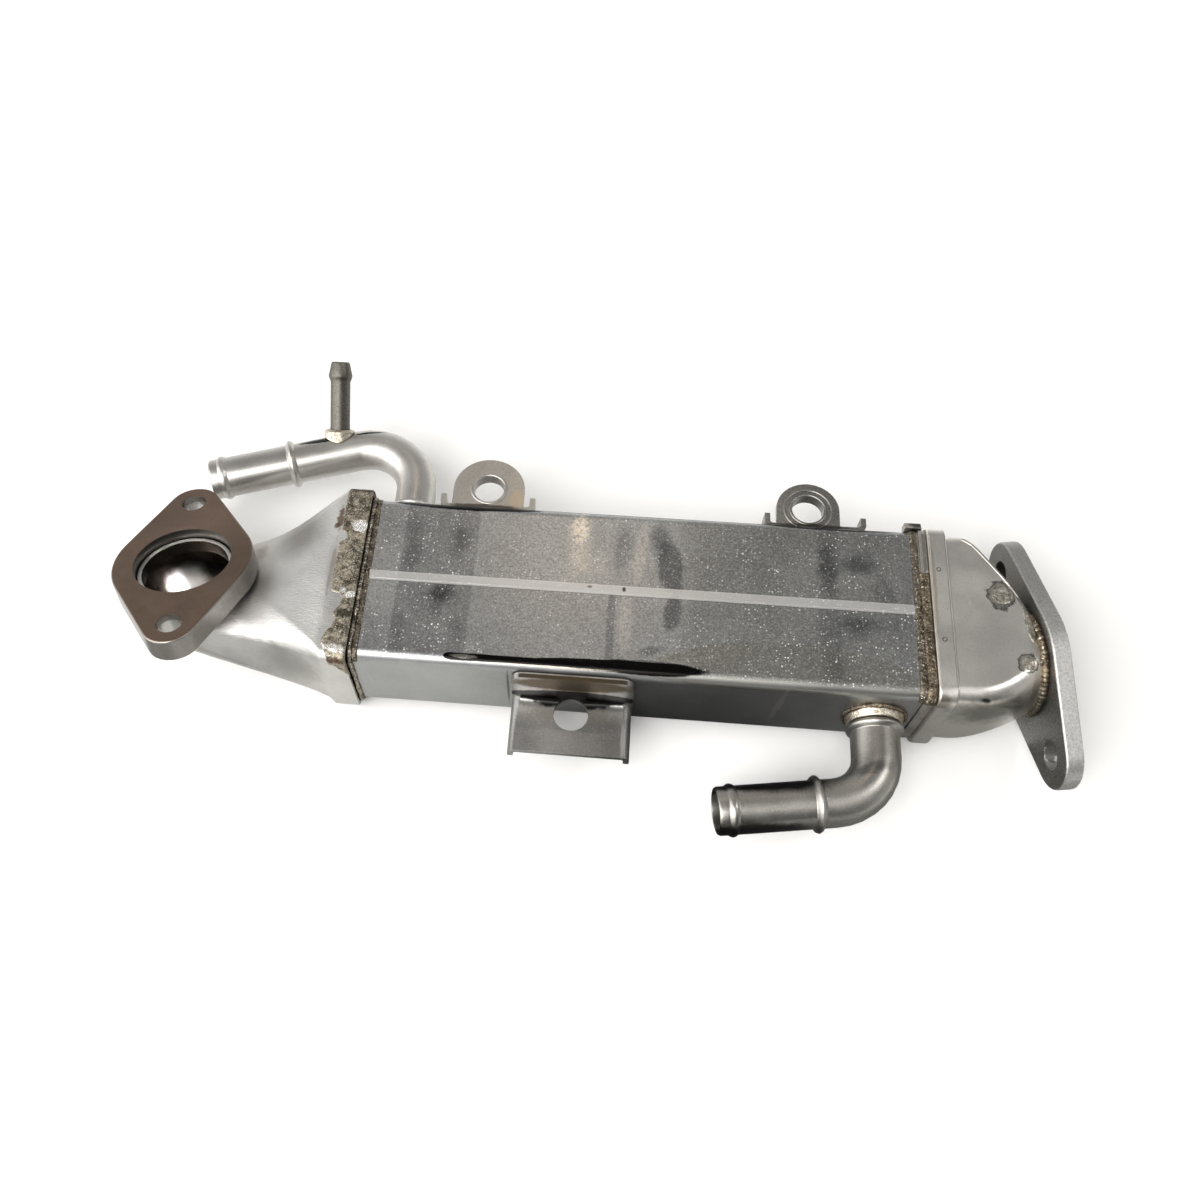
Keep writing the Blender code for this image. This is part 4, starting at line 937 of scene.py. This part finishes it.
def makeColumns(settings):
    for column in settings["columns"]:
        wide, high = settings["halfWide"] + column["lift"], settings["halfHigh"] + column["lift"]
        loop = boxOutline(wide, high, settings["corner"] + column["lift"])
        outline = subdivide([p for p in loop if p[1] > settings["above"]], settings["step"])
        low, top = column["reach"]
        outline = [p for p in outline if low <= p[0] <= top]
        count = round((column["to"] - column["from"]) / settings["step"])
        xs = [column["from"] + settings["step"] * i for i in range(count + 1)]
        middle, half = (column["from"] + column["to"]) / 2, (column["to"] - column["from"]) / 2
        piece = wrapStrip(column["name"], outline, xs,
                          lambda x, y, z: settings["cover"] - ((x - middle) / half) ** 2)
        grow(piece, "deposit", column["finish"], {"Seed": column["seed"], "Height": column["height"] * mm,
                                                  "Ragged": column["ragged"], "Grain Scale": 1000.0})
        attach(piece)


makeColumns(jointColumns)


dropSettings = {"step": 0.35, "pathStep": 0.5, "ragged": 0.4, "cover": 1.1, "from": 60, "reach": 70}


# Where a plumb line through (x, y) meets a piece, and the way its skin faces there
def plumb(tree, x, y):
    start = Vector((x, y, dropSettings["from"])) * mm
    return tree.ray_cast(start, Vector((0, 0, -1)), dropSettings["reach"] * mm)[:2]


# A ragged deposit that lies on a piece, over a turned rectangle
def dropPatch(name, target, settings, finish):
    tree = rayTree(target)
    (cx, cy), (halfX, halfY), step = settings["at"], settings["half"], dropSettings["step"]
    turn = math.radians(settings.get("turn", 0))
    nx, ny = round(2 * halfX / step) + 1, round(2 * halfY / step) + 1
    tops, lows, covers = [], [], []
    for i in range(nx):
        for j in range(ny):
            u, v = -halfX + i * step, -halfY + j * step
            x = cx + u * math.cos(turn) - v * math.sin(turn)
            y = cy + u * math.sin(turn) + v * math.cos(turn)
            hit, normal = plumb(tree, x, y)
            if hit is None:
                hit, normal = tops[-1], Vector((0, 0, 1))
            tops.append(hit - normal * slabSettings["rest"] * mm)
            lows.append(hit - normal * slabSettings["dropSink"] * mm)
            covers.append(max(0.0, dropSettings["cover"] - (u / halfX) ** 2 - (v / halfY) ** 2))
    piece = newSlab(name, tops, lows, ny, covers)
    grow(piece, "deposit", finish, {"Seed": settings["seed"], "Height": settings["height"] * mm,
                                    "Ragged": dropSettings["ragged"]})
    attach(piece)


scarSettings = {
    "outlet_scar_back": {"at": (122.6, 8.0), "half": (4.4, 5.0), "turn": 20, "seed": 21, "height": 0.1},
    "outlet_scar_front": {"at": (129.1, -17.4), "half": (3.1, 3.2), "seed": 22, "height": 0.1},
    "outlet_scar_edge": {"at": (130.6, -2.5), "half": (1.8, 10.0), "turn": 8, "seed": 23, "height": 0.3},
}
for name, scar in scarSettings.items():
    dropPatch(name, dressed["outlet_hood"], scar, scarFinish)


# A path of (x, y) places in millimetres, dropped on a piece from above
def dropPath(target, places):
    tree = rayTree(target)
    hits = [plumb(tree, x, y)[0] for x, y in subdivide(places, dropSettings["pathStep"])]
    return [tuple(hit / mm) for hit in hits if hit is not None]


rimPlaces = [(111.5, 29.6), (114.5, 27.4), (118, 22.6), (122, 17.2), (126, 12.4), (129, 8.4), (131.2, 4)]
addBead("outlet_rim", dropPath(dressed["outlet_hood"], rimPlaces), rimFinish,
        {"Radius": 0.55 * mm, "Lump": 0.05, "Ripple": 0.0, "Grain": 0.0}, closed=False)


# A ring round an axis, as points in millimetres
def ring(center, across, up, radius, steps=48):
    turns = [math.radians(360 * i / steps) for i in range(steps)]
    return [tuple(center[k] + radius * (across[k] * math.cos(t) + up[k] * math.sin(t)) for k in range(3))
            for t in turns]


def flangeRing(flange, depth, radius):
    across, normal = Vector(flange["along"]), Vector(flange["normal"])
    center = Vector(flange["face"]) - normal * depth
    return ring(center, across, normal.cross(across), radius)


inletPlace = {"face": (-160.5, 0.5, 18.3), "along": (-0.17128, 0.93305, -0.31635),
              "normal": (-0.05968, 0.31068, 0.94864)}
outletPlace = {"face": (140.7, -7.2, 0.9), "along": (-0.15047, 0.988, 0.03488),
               "normal": (0.98832, 0.14947, 0.02967)}
addBead("outlet_neck_bead", flangeRing(outletPlace, 6.9, 18.0), goldFinish,
        {"Radius": 1.15 * mm, "Lump": 0.5, "Seed": 31, "Grain": 0.7 * mm})
addBead("inlet_neck_bead", flangeRing(inletPlace, 9.7, 18.6), jointFinish,
        {"Radius": 1.2 * mm, "Lump": 0.45, "Seed": 32, "Grain": 0.6 * mm})

# Beads round the pipes' collars, at the foot of each pipe
for side, x, out, radius in (("front", 82.7, -1, 10.2), ("back", -84.8, 1, 9.7)):
    path = ring((x, out * 33.1, 0), (1, 0, 0), (0, 0, 1), radius)
    addBead(side + "_collar_bead", path, goldFinish,
            {"Radius": 0.75 * mm, "Lump": 0.5, "Seed": 40 + out, "Grain": 0.5 * mm})

# Pressed lips round the ear brackets' holes, and two small round marks on the outlet hood's belt
lipSettings = {"left_ear": ((-55.7, 41.9, 13.0), (6.3,)), "right_ear": ((59.7, 41.2, 13.0), (6.3, 8.4))}
for ear, (center, radii) in lipSettings.items():
    for index, radius in enumerate(radii, 1):
        path = ring(center, (1, 0, 0), (0, 1, 0), radius)
        addBead("%s_lip_%d" % (ear, index), path, finishes[ear + "_bracket"],
                {"Radius": 0.55 * mm, "Lump": 0.1, "Ripple": 0.0, "Grain": 0.0})
for index, (x, y) in enumerate(((101.8, 15.4), (101.8, -11.7)), 1):
    addBead("belt_pip_%d" % index, [(x, y, 19.42), (x, y, 19.62)], pipFinish,
            {"Radius": 0.5 * mm, "Lump": 0.1, "Grain": 0.1 * mm, "Step": 0.1 * mm}, closed=False)
print("joint beads and deposits made")
